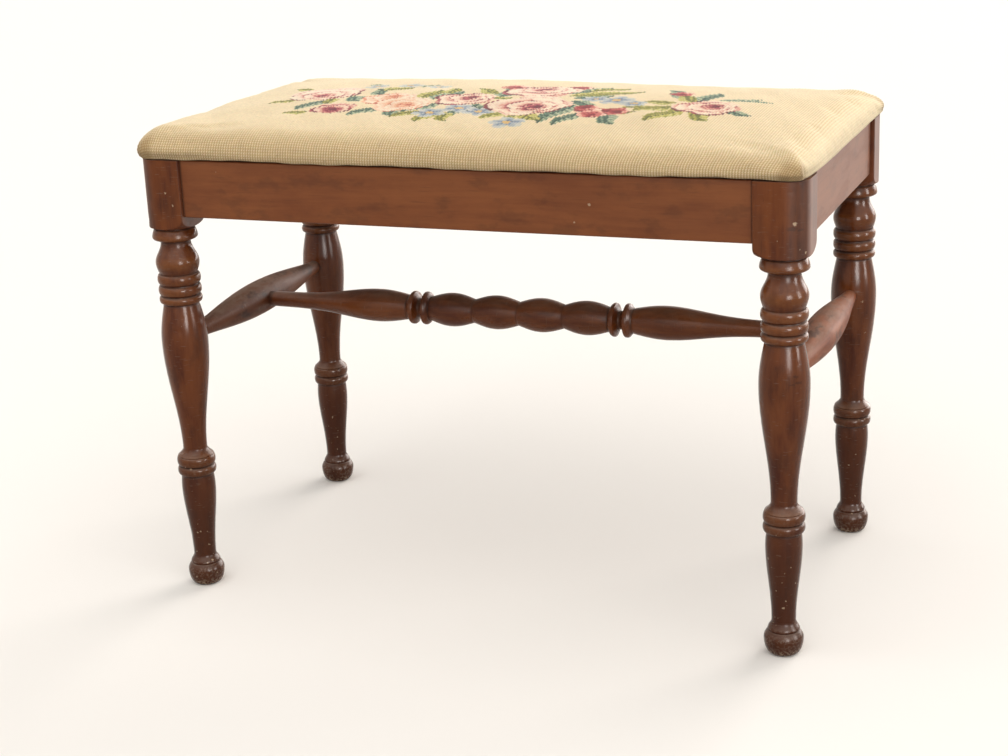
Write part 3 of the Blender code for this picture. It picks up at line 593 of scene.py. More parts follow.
def add_rail(name, along, seed):
    """A rounded section carried along the rail, with the faint waves that planing leaves."""
    low, high = (np.array(corner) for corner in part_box(name))
    middle, half = (low + high) / 2, (high - low) / 2
    across = 1 - along
    section = rounded_section(half[across], half[2], RAIL_EDGE)
    length = 2 * half[along]
    between = np.linspace(JOINT_STEPS[-1], length - JOINT_STEPS[-1], RAIL_STEPS)[1:-1]
    gone = np.concatenate([JOINT_STEPS, between, length - JOINT_STEPS[::-1]])
    steps = gone / half[along] - 1
    draw = np.random.default_rng(seed)
    waves = zip(draw.uniform(5, 22, 4), draw.uniform(0, 6, 4))
    wave = sum(np.sin(steps * rate + phase) for rate, phase in waves)
    grid = np.empty((len(steps), len(section), 3))
    grid[..., along] = middle[along] + half[along] * steps[:, None]
    grid[..., across] = middle[across] + section[:, 0] * (1 - PLANED_DEPTH * (1 + wave[:, None] / 4))
    grid[..., 2] = middle[2] + section[:, 1]
    made = closed_skin(f"{name}_board", grid)
    # Dirt and painted shade in the joints at both ends, where the rail is set back from the leg blocks.
    dirt_and_shade = np.clip(1 - np.minimum(gone, length - gone) / JOINT_DIRT_AND_SHADE, 0, 1)
    mark(made, "groove", np.broadcast_to(dirt_and_shade[:, None], grid.shape[:2]))
    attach(made, "root")
    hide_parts(name)
    return made


long_rail_wood = stained_wood("long_rail_wood", ALONG_X, (0.31, 0.17, 0.23), RAIL_TONE, figured=0.34,
                              blotched=0.24, chips=0.002, dust_and_sheen_share=0.0, roughness=0.40, gloss=0.24)
short_rail_wood = stained_wood("short_rail_wood", ALONG_Y, (0.13, 0.41, 0.19), RAIL_TONE, figured=0.34,
                               blotched=0.20, chips=0.002, dust_and_sheen_share=0.0, roughness=0.44, gloss=0.50)
RAIL_DIRECTIONS = {"front_rail": 0, "rear_rail": 0, "left_rail": 1, "right_rail": 1}
for seed, (name, along) in enumerate(RAIL_DIRECTIONS.items()):
    add_rail(name, along, seed).data.materials.append(short_rail_wood if along else long_rail_wood)


# Stretchers. Two plain bars that swell to the middle join each pair of end legs, and a beaded bar joins the
# two bars. All three are turned from the same stained wood, and their ends are glued into holes in the legs
# and bars.
SIDE_END = 0.0140
SIDE_MIDDLE = 0.0332
SIDE_FULLNESS = 1.6
TENON = 0.016
BEAD_LENGTH = 0.0462
BEAD_VALLEY = 0.0230
BEAD_CREST = 0.0330
BEADS_SHIFT = -0.005
DISC = 0.0326
DISC_EDGE = DISC - 0.0012
DISC_RISE = 0.0030
DISC_CORE = 0.0176
INNER_DISC = 0.0062
OUTER_DISC = 0.0070
VASE = 0.0324
VASE_FADE = 0.05
CROSS_END = 0.0152
JOINT_GRIME = 0.0050
LEG_RADIUS_AT_BARS = 0.0200
POINTS_ROUND_BAR = 64
BAR_DENTS = 14
BAR_DENT_DEPTH = 0.0003


def side_outline():
    """Half diameter along a side bar: a parabola raised to a power swells it from its ends to the middle."""
    place = np.linspace(-1, 1, 200)
    reach = LEG_Y - LEG_BELLY / 2
    diameter = SIDE_END + (SIDE_MIDDLE - SIDE_END) * (1 - place ** 2) ** SIDE_FULLNESS
    body = np.stack([diameter / 2, reach * place], -1)
    ends = np.array([[SIDE_END / 2, -reach - TENON], [SIDE_END / 2, reach + TENON]])
    return np.concatenate([ends[:1], body, ends[1:]])


def bead(share):
    """A round bead: half a sine wave."""
    return np.sin(np.pi * share)


def cross_half(reach):
    """Half diameter from the middle of the beaded bar outwards: two beads, two discs, and a vase that fades
    away as a bell curve does."""
    inner = 2 * BEAD_LENGTH
    groove = inner + 0.0085
    outer = groove + 0.0040
    vase = outer + 0.0115
    crest = vase + 0.031
    fade = np.linspace(0, reach - crest, 80)
    bell = CROSS_END + (VASE - CROSS_END) * np.exp(-(fade / VASE_FADE) ** 2)
    return np.concatenate([
        down(bead, BEAD_VALLEY, BEAD_CREST, 0, BEAD_LENGTH, 50),
        down(bead, BEAD_VALLEY, BEAD_CREST, BEAD_LENGTH, inner, 50),
        down(swell, 0.0240, DISC_EDGE, inner, inner + DISC_RISE, 14),
        down(round_ring, DISC_EDGE, DISC, inner + DISC_RISE, inner + INNER_DISC, 14),
        down(swell, DISC_EDGE, DISC_CORE, inner + INNER_DISC, groove + 0.0015),
        cut(DISC_CORE, DISC_EDGE, outer - 0.0015, outer + DISC_RISE),
        down(round_ring, DISC_EDGE, DISC, outer + DISC_RISE, outer + OUTER_DISC, 14),
        down(swell, DISC_EDGE, 0.0236, outer + OUTER_DISC, vase, 14),
        down(swell, 0.0246, VASE, vase, crest),
        np.stack([bell / 2, crest + fade], -1),
    ])


def cross_outline():
    """The whole beaded bar, whose middle stands a little to the left."""
    reach = LEG_X - SIDE_MIDDLE / 2 + 0.012
    right, left = cross_half(reach - BEADS_SHIFT), cross_half(reach + BEADS_SHIFT)
    return np.concatenate([(left * (1, -1))[::-1], right[1:]]) + (0, BEADS_SHIFT)


def add_stretcher(name, outline, along, free_reach, seed):
    """An outline carried round a level axis, with a few knocks in it and dirt where its ends enter their
    holes."""
    low, high = (np.array(corner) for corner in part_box(name))
    middle = (low + high) / 2
    outline = even_steps(outline, OUTLINE_STEP)
    radius, place = outline[:, 0], outline[:, 1]
    turn = np.linspace(0, 2 * np.pi, POINTS_ROUND_BAR, endpoint=False)
    smooth = np.broadcast_to(radius[:, None], (len(radius), len(turn)))
    rows = smooth - dents(smooth, place, turn, BAR_DENTS, BAR_DENT_DEPTH, seed)
    grid = np.empty((*rows.shape, 3))
    grid[..., along] = place[:, None]
    grid[..., 1 - along] = middle[1 - along] + rows * np.cos(turn)
    grid[..., 2] = middle[2] + rows * np.sin(turn)
    made = closed_skin(f"{name}_bar", grid)
    joint = np.clip(1 - (free_reach - np.abs(place)) / JOINT_GRIME, 0, 1)
    groove = np.maximum(hollowness(radius), joint)
    mark(made, "groove", np.broadcast_to(groove[:, None], rows.shape))
    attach(made, "root")
    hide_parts(name)
    return made


CROSS_BAR_TONE = (0.84, 0.74, 0.66)
# The two side bars are copies of one wood: the left one darkened as painted shade, the right one lightened as
# painted light.
SIDE_BAR_LIT_AND_SHADED_TONES = {"left_stretcher": (0.52, 0.46, 0.42), "right_stretcher": (1.08, 0.90, 0.76)}
cross_bar_wood = stained_wood("cross_bar_wood", ALONG_X, (0.21, 0.33, 0.07), CROSS_BAR_TONE, figured=1.0,
                              blotched=0.25, chips=0.010, dust_and_sheen_share=0.42, roughness=0.28, gloss=0.22)
for seed, (name, tone) in enumerate(SIDE_BAR_LIT_AND_SHADED_TONES.items()):
    side_bar_painted_light_wood = stained_wood(name + "_wood", ALONG_Y, (0.37, 0.11, 0.29), tone, figured=1.0,
                                 blotched=0.66, chips=0.014, dust_and_sheen_share=0.60, roughness=0.52, gloss=0.16)
    side_bar = add_stretcher(name, side_outline(), 1, LEG_Y - LEG_RADIUS_AT_BARS, 10 + seed)
    side_bar.data.materials.append(side_bar_painted_light_wood)
cross_bar = add_stretcher("cross_stretcher", cross_outline(), 0, LEG_X - SIDE_MIDDLE / 2, 12)
cross_bar.data.materials.append(cross_bar_wood)


# Corner blocks and dowels. Sawn blocks of bare softwood are glued and screwed behind the rails, and beech
# dowels pin the rails to the legs. They were never stained, and they have darkened with age.
def bare_wood(name, dark, light, roughness):
    """Sawn wood without a finish: the shared figure between two tones, and fine saw marks as bumps."""
    made, tree, shader = new_material(name)
    whole = node(tree, "TexCoord").outputs["Object"]
    place = node(tree, "Mapping", None, Vector=whole, Rotation=ALONG_X).outputs[0]
    figure = node(tree, "Group", {"node_tree": WOOD_FIGURE}, Place=place).outputs
    stain = noise(place, 24.0, 4.0, 0.6)
    colour = mixed(figure["Streak"], dark, light)
    feed(shader, Base_Color=mixed(mapped(stain, 0.35, 0.75, 0.0, 0.5), colour, dark),
         Roughness=mapped(stain, 0.3, 0.7, roughness, roughness + 0.12),
         Normal=raised(plus(figure["Streak"], figure["Pore"]), 0.4, 0.0004))
    return made


block_wood = bare_wood("block_wood", dark=(0.23, 0.128, 0.058), light=(0.42, 0.27, 0.14), roughness=0.72)
dowel_wood = bare_wood("dowel_wood", dark=(0.34, 0.22, 0.12), light=(0.50, 0.36, 0.21), roughness=0.62)


def dress(name, material):
    """Gives a CAD node that stays in view its material."""
    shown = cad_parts[name]
    shown.data.materials.clear()
    shown.data.materials.append(material)


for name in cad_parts:
    if name.endswith("_corner_block"):
        dress(name, block_wood)
    elif name.endswith("_dowel"):
        dress(name, dowel_wood)


# Screws. Round-headed steel wood screws hold the corner blocks to the rails, and four longer ones go up into
# the seat board. Their heads have gone dull, with rust in the slots.
STEEL = (0.42, 0.40, 0.37)
RUST = (0.16, 0.065, 0.026)


def screw_steel_material():
    """Steel with patches of rust, which are rough and no longer metal."""
    made, tree, shader = new_material("screw_steel")
    rust = mapped(noise(node(tree, "TexCoord").outputs["Object"], 420.0, 5.0, 0.65), 0.45, 0.68)
    feed(shader, Base_Color=mixed(rust, STEEL, RUST), Metallic=mapped(rust, 0.0, 1.0, 1.0, 0.1),
         Roughness=mapped(rust, 0.0, 1.0, 0.36, 0.85), Normal=raised(rust, 0.5, 0.0002))
    return made


screw_steel = screw_steel_material()
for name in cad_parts:
    if name.endswith("_screw"):
        dress(name, screw_steel)


# Seat board. A panel of fir plywood carries the padding. Only its underside shows, inside the hem of the
# cover.
plywood = bare_wood("plywood", dark=(0.36, 0.225, 0.115), light=(0.58, 0.42, 0.25), roughness=0.7)
dress("seat_board", plywood)


# Seat cover. Wool on canvas in slanted half-cross stitches, drawn over cotton batting and the board,
# gathered at the corners, turned under and tacked. A bouquet of roses, blue flowers and leaves lies on a
# cream ground.
STITCH = 0.0025
COVER_LOW, COVER_HIGH = (np.array(corner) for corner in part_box("needlepoint_cover"))
PAD_X, PAD_Y = COVER_HIGH[:2]
COVER_BOTTOM = COVER_LOW[2]
EDGE_HEIGHT = 0.026
EDGE_ROUND = 0.022
EDGE_FALL = 0.0195
EDGE_DRAW_IN = 0.0020
EDGE_START = 0.185
EDGE_POINTS = 60
EDGE_LIP = 0.0018
HEM_TURN = 0.016
CORE_X = PAD_X - EDGE_ROUND
CORE_Y = PAD_Y - EDGE_ROUND
CROWN = 0.0094
SAG_RIGHT = 0.006
SAG_LEFT = 0.004
FRONT_RISE = 0.0020
CORNER_PULL = 0.0042
CORNER_SQUARE_RIGHT = 8
CORNER_SQUARE_LEFT = 1.5
GATHER_DEPTH = 0.00030
TUCK_DEPTH = 0.0011
TUCK_ANGLE = 0.84
RIPPLE = 0.0004
FINE_RIPPLE = 0.0002
LIP_LIFT = 0.0010
OVERHANG = 0.0445
CORNER_SLACK = 0.006
CLOTH_X = STITCH * round((CORE_X + OVERHANG) / STITCH)
CLOTH_Y = STITCH * round((CORE_Y + OVERHANG) / STITCH)


def edge_walk():
    """Outward reach and drop along the cloth over the pad's edge: a quarter ellipse, a side that draws in, a
    turn under."""
    turn = np.linspace(EDGE_START, np.pi / 2, EDGE_POINTS)
    over = np.stack([
        EDGE_ROUND * (np.sin(turn) - np.sin(EDGE_START)) / (1 - np.sin(EDGE_START)),
        EDGE_FALL * (np.cos(EDGE_START) - np.cos(turn)) / np.cos(EDGE_START),
    ], -1)
    bend = np.linspace(0, np.pi / 2, 12)
    side_end = np.array([EDGE_ROUND - EDGE_DRAW_IN + EDGE_LIP * 0.3, EDGE_HEIGHT - EDGE_LIP])
    under = side_end + EDGE_LIP * np.stack([np.cos(bend) - 1, np.sin(bend)], -1)
    inward = under[-1:] - (HEM_TURN, 0)
    walk = np.concatenate([over, side_end[None], under[1:], inward])
    return walked(walk), walk


EDGE_LENGTH, EDGE_WALK = edge_walk()
SIDE_FROM = EDGE_LENGTH[EDGE_POINTS - 1]
UNDER_FROM = EDGE_LENGTH[-2]


def rise(value, start, width):
    """Nought up to a start, one past a width after it, and half a cosine wave between."""
    return ease(np.clip((value - start) / width, 0, 1))


def seat_surface(across, along):
    """Where a point of the flat cloth lies on the pad. Inside the core it rests on the crown. Past it, the
    overhang is walked down the edge, and at a corner the two overhangs make a distance and a direction round
    the corner."""
    past_x = np.maximum(np.abs(across) - CORE_X, 0)
    past_y = np.maximum(np.abs(along) - CORE_Y, 0)
    past = np.cbrt(past_x ** 3 + past_y ** 3)
    slack = CORNER_SLACK * (1 - np.exp(np.minimum(OVERHANG - past, 0) / CORNER_SLACK))
    past = np.minimum(past, OVERHANG) + slack
    way = np.arctan2(past_y, past_x)
    reach = np.interp(past, EDGE_LENGTH, EDGE_WALK[:, 0])
    fall = np.interp(past, EDGE_LENGTH, EDGE_WALK[:, 1])
    low = rise(past, 0.008, 0.022)
    plumb = rise(past, SIDE_FROM, UNDER_FROM - SIDE_FROM) * (across > 0)
    reach = reach + EDGE_DRAW_IN * plumb * np.cos(way) ** 4
    square = 2 + np.where(across > 0, CORNER_SQUARE_RIGHT, CORNER_SQUARE_LEFT) * low
    aim = (np.abs(np.cos(way)) ** square + np.abs(np.sin(way)) ** square) ** (-1 / square)
    pleat = np.clip((past - 0.014) / 0.018, 0, 1) * np.clip((UNDER_FROM + 0.004 - past) / 0.006, 0, 1)
    beside = way - TUCK_ANGLE
    tuck = np.exp(-(beside / 0.075) ** 2) - 0.5 * np.exp(-((beside - 0.18) / 0.10) ** 2)
    gather = np.sin(way * 24 + 7 * np.sign(across) + np.sign(along))
    ruck = GATHER_DEPTH * gather - TUCK_DEPTH * tuck
    reach = reach * aim + np.sin(2 * way) * pleat * ruck
    core_x, core_y = np.minimum(np.abs(across), CORE_X), np.minimum(np.abs(along), CORE_Y)
    x = np.sign(across) * (core_x + reach * np.cos(way))
    y = np.sign(along) * (core_y + reach * np.sin(way))
    crown = CROWN * (1 - (core_x / CORE_X) ** 4) * (1 - (core_y / CORE_Y) ** 2)
    left_sag = np.where(y > 0, SAG_LEFT, -FRONT_RISE) * np.clip(-x / PAD_X, 0, 1) ** 1.5
    sag = (SAG_RIGHT * rise(x, -0.06, 0.25) + left_sag) * np.abs(y / PAD_Y) ** 2
    x = x - CORNER_PULL * low * rise(x, 0, PAD_X) * np.exp(-((y + PAD_Y) / 0.035) ** 2)
    ripple = RIPPLE * np.sin(x * 61 + 1) * np.sin(y * 53 + 2) + FINE_RIPPLE * np.sin(x * 137 + y * 90)
    lip = np.exp(-((past - UNDER_FROM) / 0.0042) ** 2)
    calm = 1 - 0.7 * (across > 0) * np.cos(way) ** 4
    wavy = 0.6 * np.sin(x * 43 + y * 57 + 1) + 0.3 * np.sin(x * 171 - y * 143)
    lift = LIP_LIFT * lip * (1 + calm * wavy)
    left = 1 - fall / EDGE_HEIGHT
    z = COVER_BOTTOM + (EDGE_HEIGHT - sag + ripple) * left + crown + lift
    return np.stack([x, y, z], -1), past


def finer(grid, count):
    """A Catmull-Rom curve through the rows of a grid, read at more places."""
    place = np.linspace(0, len(grid) - 1, count)
    row = np.clip(place.astype(int), 0, len(grid) - 2)
    share = (place - row).reshape(-1, *[1] * (grid.ndim - 1))
    before, first = grid[np.maximum(row - 1, 0)], grid[row]
    second, after = grid[row + 1], grid[np.minimum(row + 2, len(grid) - 1)]
    return first + 0.5 * share * (second - before + share * (
        2 * before - 5 * first + 4 * second - after + share * (3 * (first - second) + after - before)))


SETTLE_STEP = 3 * STITCH
SETTLE_LIMIT = 0.0015
SETTLE_FRAMES = 20
SETTLE_SETTINGS = {
    "quality": 6,
    "mass": 0.4,
    "tension_stiffness": 40,
    "compression_stiffness": 40,
    "shear_stiffness": 12,
    "bending_stiffness": 4,
    "shrink_min": -0.006,
    "use_pressure": True,
    "uniform_pressure_force": 4,
    "vertex_group_mass": "tacked",
}


def settled():
    """How the cloth shifts when the batting presses it up: a coarse sheet, held where it is tacked, is
    simulated, and its movement from the drawn shape is kept within a limit."""
    across = np.linspace(-CLOTH_X, CLOTH_X, int(2 * CLOTH_X / SETTLE_STEP))[:, None]
    along = np.linspace(-CLOTH_Y, CLOTH_Y, int(2 * CLOTH_Y / SETTLE_STEP))[None]
    points, past = seat_surface(across + 0 * along, along + 0 * across)
    rows, columns = past.shape
    index = np.arange(rows * columns).reshape(rows, columns)
    quads = np.stack([index[:-1, :-1], index[1:, :-1], index[1:, 1:], index[:-1, 1:]], -1).reshape(-1, 4)
    sheet = add_mesh("settling_sheet", points.reshape(-1, 3), quads, np.empty((0, 3), int))
    held = sheet.vertex_groups.new(name="tacked")
    held.add(index[past > UNDER_FROM - 0.005].tolist(), 1.0, "REPLACE")
    cloth = sheet.modifiers.new("settle", "CLOTH")
    for setting, value in SETTLE_SETTINGS.items():
        setattr(cloth.settings, setting, value)
    cloth.settings.effector_weights.gravity = 0
    cloth.collision_settings.use_collision = False
    cloth.point_cache.frame_start = 1
    cloth.point_cache.frame_end = SETTLE_FRAMES
    for step in range(1, SETTLE_FRAMES + 1):
        bpy.context.scene.frame_set(step)
    found = np.empty(rows * columns * 3, np.float32)
    shown = sheet.evaluated_get(bpy.context.evaluated_depsgraph_get())
    shown.data.vertices.foreach_get("co", found)
    bpy.context.scene.frame_set(1)
    bpy.data.objects.remove(sheet)
    shift = found.reshape(rows, columns, 3) - points
    far = np.linalg.norm(shift, axis=-1, keepdims=True) + 1e-9
    return shift * (SETTLE_LIMIT * np.tanh(far / SETTLE_LIMIT) / far)


def srgb(*values):
    """Screen colours 0 to 255 as linear light."""
    value = np.array(values, float) / 255
    return np.where(value <= 0.04045, value / 12.92, ((value + 0.055) / 1.055) ** 2.4)


CREAM = srgb(243, 226, 190)
BURGUNDY = srgb((102, 18, 42), (138, 36, 58), (184, 88, 96), (230, 172, 156), (245, 214, 194),
                (249, 229, 208), (251, 236, 214))
PEACH = srgb((204, 112, 88), (230, 154, 122), (243, 190, 158), (248, 212, 184), (250, 226, 202),
             (252, 236, 214))
RED = srgb((124, 24, 38), (166, 50, 58), (210, 114, 108), (242, 190, 172), (249, 222, 202))
BLUE = srgb((88, 106, 136), (130, 148, 172), (176, 188, 198), (208, 212, 208), (228, 224, 208))
GOLD = srgb(228, 192, 124)
TEAL = srgb((54, 86, 72), (94, 126, 106), (144, 166, 140), (190, 200, 170), (214, 214, 186))
OLIVE = srgb((108, 112, 40), (156, 156, 64), (196, 190, 98), (220, 214, 144))


def pick(shades, tone):
    """Takes each stitch's wool from a short row of shades, since a worker has only so many skeins."""
    return shades[np.clip((tone * len(shades)).astype(int), 0, len(shades) - 1)]


def paint_rose(ground, x, y, centre, size, shades, turn):
    """A full rose seen from above. Circles that shrink from its rim to a heart off its middle count rings of
    petals. Each petal bulges at its middle and runs from a dark fold to a pale rim, some petals deeper than
    others."""
    heart = 0.42 * size * np.array([math.cos(turn - 1.2), math.sin(turn - 1.2)])
    off_x, off_y = x - centre[0] - heart[0], y - centre[1] - heart[1]
    spare = size ** 2 - heart @ heart
    along = off_x * heart[0] + off_y * heart[1]
    far = (along + np.sqrt(along ** 2 + spare * (off_x ** 2 + off_y ** 2))) / spare
    angle = np.arctan2(off_y, off_x) + turn
    layer = min(3.3, size / 9) * far ** 0.85 + 0.34 * np.sin(angle)
    for bulge in (0.42, 0.0):
        ring = np.clip(np.floor(layer), 0, 3)
        petal = angle / (2 * np.pi) * (3 + ring) + 0.37 * ring
        seam = np.abs(2 * (petal % 1) - 1)
        layer = layer + bulge * seam ** 3
    fold = np.clip(layer - ring, 0, 1)
    tone = 0.12 * ring + (0.98 - 0.10 * ring) * fold ** 0.54 - 0.34 * seam ** 6 - 0.38 * (ring == 0)
    tone = tone + 0.13 * np.sin(4.1 * np.floor(petal) + 2.3 * ring + turn)
    rim = 1 - 0.14 * np.abs(np.sin(2.5 * angle)) ** 5
    tone = np.where(far > 0.90 * rim, tone - 0.28 + 0.28 * np.sin(angle - 1.0), tone)
    inside = far < rim
    ground[inside] = pick(shades, np.clip(tone, 0, 0.999))[inside]


def paint_leaf(ground, x, y, base, tip, width, shades):
    """An almond leaf from its base to its tip: one half paler than the other, a dark midrib, and pale
    veins."""
    base, tip = np.array(base, float), np.array(tip, float)
    length = np.linalg.norm(tip - base)
    ahead = (tip - base) / length
    run = ((x - base[0]) * ahead[0] + (y - base[1]) * ahead[1]) / length
    off = (y - base[1]) * ahead[0] - (x - base[0]) * ahead[1] - 0.14 * width * np.sin(2 * np.pi * run)
    half = width / 2 * np.sin(np.pi * np.clip(run, 0, 1) ** 0.8) ** 0.8
    tone = np.where(off > 0, 0.66, 0.34) + 0.20 * np.sin((run * length - np.abs(off) * 0.9) * 0.85)
    tone = np.where(np.abs(off) < 1.2, 0.02, tone)
    inside = (np.abs(off) < half) & (run > 0) & (run < 1)
    ground[inside] = pick(shades, tone)[inside]


def paint_flower(ground, x, y, centre, size, turn, shades):
    """A blue flower of five petals round a gold eye. Its rim follows the size of a cosine of the angle."""
    off_x, off_y = x - centre[0], y - centre[1]
    far = np.hypot(off_x, off_y)
    swing = (np.arctan2(off_y, off_x) + turn) * 2.5
    inside = far < size * (0.55 + 0.45 * np.abs(np.cos(swing)) ** 0.6)
    tone = 0.15 + 0.85 * far / size + 0.18 * np.sin(swing * 2)
    ground[inside] = pick(shades, tone)[inside]
    ground[far < 0.24 * size] = GOLD


def bouquet(x, y):
    """The colour of each stitch, in millimetres from the middle of the seat: leaves, then small flowers,
    then roses."""
    ground = np.empty((*x.shape, 3))
    ground[:] = CREAM
    teal_leaves = (
        ((-180, -40), (-190, -78), 20), ((-160, -20), (-140, -44), 20), ((-110, -68), (-128, -100), 18),
        ((-96, -70), (-82, -98), 18), ((-72, -30), (-60, 20), 18), ((-20, -44), (-28, -94), 20),
        ((-10, -10), (-2, 30), 24), ((44, 10), (78, 62), 20), ((60, -10), (96, 8), 20),
        ((70, -40), (60, -106), 20), ((84, -70), (74, -110), 16), ((106, -70), (128, -102), 20),
        ((168, 0), (132, 58), 18), ((180, -4), (184, 46), 18), ((-60, -48), (-80, -84), 20),
        ((-134, -8), (-152, 26), 16), ((0, 0), (-24, 40), 18), ((62, -24), (92, -40), 18),
        ((208, -40), (238, -52), 14), ((-8, -50), (-20, -84), 16))
    faded_leaves = (
        ((196, 0), (230, 22), 14), ((212, 8), (244, 10), 9), ((-150, 44), (-176, 56), 14),
        ((-112, 40), (-104, 64), 12))
    olive_leaves = (
        ((-172, -88), (-196, -96), 14), ((-220, 24), (-246, 34), 16), ((-140, 14), (-120, 44), 20),
        ((-84, -24), (-84, 22), 20), ((-60, -76), (-84, -102), 18), ((-48, -84), (-54, -116), 16),
        ((-40, -84), (-26, -110), 16), ((20, -70), (2, -100), 18), ((24, -72), (60, -96), 20),
        ((30, -78), (30, -104), 14), ((-20, 6), (-50, 34), 18), ((52, 0), (116, 40), 24),
        ((98, -60), (136, -58), 16), ((168, -30), (130, -56), 22), ((172, -44), (150, -88), 22),
        ((182, -50), (206, -80), 20), ((160, -16), (128, -20), 18), ((176, -8), (150, 24), 18),
        ((-212, -30), (-232, -52), 16), ((-176, -30), (-166, -56), 14), ((-66, 2), (-76, 36), 16),
        ((64, 30), (96, 62), 16), ((-20, -20), (4, -14), 14), ((118, -44), (146, -36), 14))
    for shades, leaves in ((TEAL[1:], faded_leaves), (TEAL[:4], teal_leaves), (OLIVE, olive_leaves)):
        for base, tip, width in leaves:
            paint_leaf(ground, x, y, base, tip, width, shades)
    for centre, size, turn in (((-160, 42), 14, 0.2), ((-128, 50), 15, 0.9), ((-96, 46), 13, 0.5)):
        paint_flower(ground, x, y, centre, size, turn, BLUE[1:])
    for centre, size, turn in (
            ((-52, -84), 17, 0.3), ((-30, -66), 17, 1.1), ((-8, -74), 16, 0.0), ((32, -108), 17, 0.6),
            ((104, -16), 18, 0.9), ((82, -10), 14, 0.1), ((124, -28), 13, 1.7)):
        paint_flower(ground, x, y, centre, size, turn, BLUE[:4])
    for centre, size, shades, turn in (
            ((98, -66), 17, RED, 0.0), ((116, -58), 13, RED, 1.0), ((86, -52), 12, RED, 2.0),
            ((-16, 50), 16, RED, 0.5), ((44, 52), 15, RED, 1.4), ((152, 30), 12, RED, 0.6),
            ((-153, -74), 22, BURGUNDY[:5], 0.4), ((-118, -28), 28, PEACH, 2.0), ((-94, -52), 30, PEACH, 1.0),
            ((-195, 0), 39, BURGUNDY, 0.0), ((18, 24), 38, BURGUNDY, 2.6), ((-42, -24), 31, BURGUNDY, 2.0),
            ((29, -44), 41, BURGUNDY, 0.7), ((191, -30), 31, BURGUNDY, 1.6)):
        paint_rose(ground, x, y, centre, size, shades, turn)
    return ground


YARN_HEIGHT = 0.00042
YARN_TAIL = 0.00028
GAP_DEPTH = -0.00040
YARN_LEAN = 0.00026
# Painted shade between the stitches, where the canvas also shows, and at each stitch's tail: on the top, on
# the front and back, and on the ends.
GAP_CANVAS_AND_SHADE_ON_TOP = (0.70, 0.59, 0.44)
GAP_CANVAS_AND_SHADE_ON_SIDE = (0.52, 0.39, 0.24)
GAP_CANVAS_AND_SHADE_AT_END = (0.88, 0.83, 0.74)
TAIL_SHADE_ON_TOP = (0.87, 0.84, 0.78)
TAIL_SHADE_ON_SIDE = (0.70, 0.61, 0.48)
CORNER_DARKENING = (0.22, 0.28, 0.36)
SOILED_WOOL = (0.30, 0.20, 0.10)
WOOL_SPECKS = (0.16, 0.095, 0.045)
WOOL_SHADOW = (0.12, 0.08, 0.04)
HEM_X = 0.92
HEM_Y = 0.85
HEM_RISE = 0.0036
HEM_GAP = 0.0002
CANVAS = srgb(196, 170, 124)


def blended(first, second, share):
    """One colour fading into another."""
    return np.array(first) * (1 - share) + np.array(second) * share


def wool_and_shade_colours(flat_x, flat_y, yarn, tail, draw):
    """The colour at each point: its stitch's yarn, a little uneven from stitch to stitch, with the canvas and
    painted shade between the stitches and painted shade at the tail of each. The shade is stronger on the
    front and back and weaker on the ends, and the colour is darker and yellower at the corners."""
    stitches = (flat_x.shape[0] // 2, flat_x.shape[1] // 2)
    wool_and_shade = bouquet(*(1000 * grid[::2, ::2] + 1000 * STITCH / 4 for grid in (flat_x, flat_y)))
    shade = draw.normal(1.0, 0.03, (*stitches, 1))
    hue = draw.normal(1.0, 0.012, (*stitches, 3))
    wool_and_shade = np.clip(wool_and_shade * shade * hue, 0, 1).repeat(2, 0).repeat(2, 1)
    over_x, over_y = np.abs(flat_x) - CORE_X, np.abs(flat_y) - CORE_Y
    on_front_and_back = rise(over_y, -0.002, 0.022)[..., None]
    on_ends = rise(over_x, 0.006, 0.018)[..., None] * (1 - on_front_and_back)
    # Canvas and painted shade between the stitches, and painted shade at each tail: deeper on the front and
    # back, lighter on the ends.
    gap_canvas_and_shade = blended(GAP_CANVAS_AND_SHADE_ON_TOP, GAP_CANVAS_AND_SHADE_ON_SIDE, on_front_and_back)
    gap_canvas_and_shade = blended(gap_canvas_and_shade, GAP_CANVAS_AND_SHADE_AT_END, on_ends)
    end = blended(TAIL_SHADE_ON_TOP, TAIL_SHADE_ON_SIDE, on_front_and_back)
    wool_and_shade = wool_and_shade * np.where(yarn[..., None], np.where(tail[..., None], end, 1), gap_canvas_and_shade)
    # Darker and yellower at the corners of the sides.
    darkened_corner = rise(over_x, -0.002, 0.012) * rise(over_y, 0.010, 0.014)
    return wool_and_shade * (1 - np.array(CORNER_DARKENING) * darkened_corner[..., None])


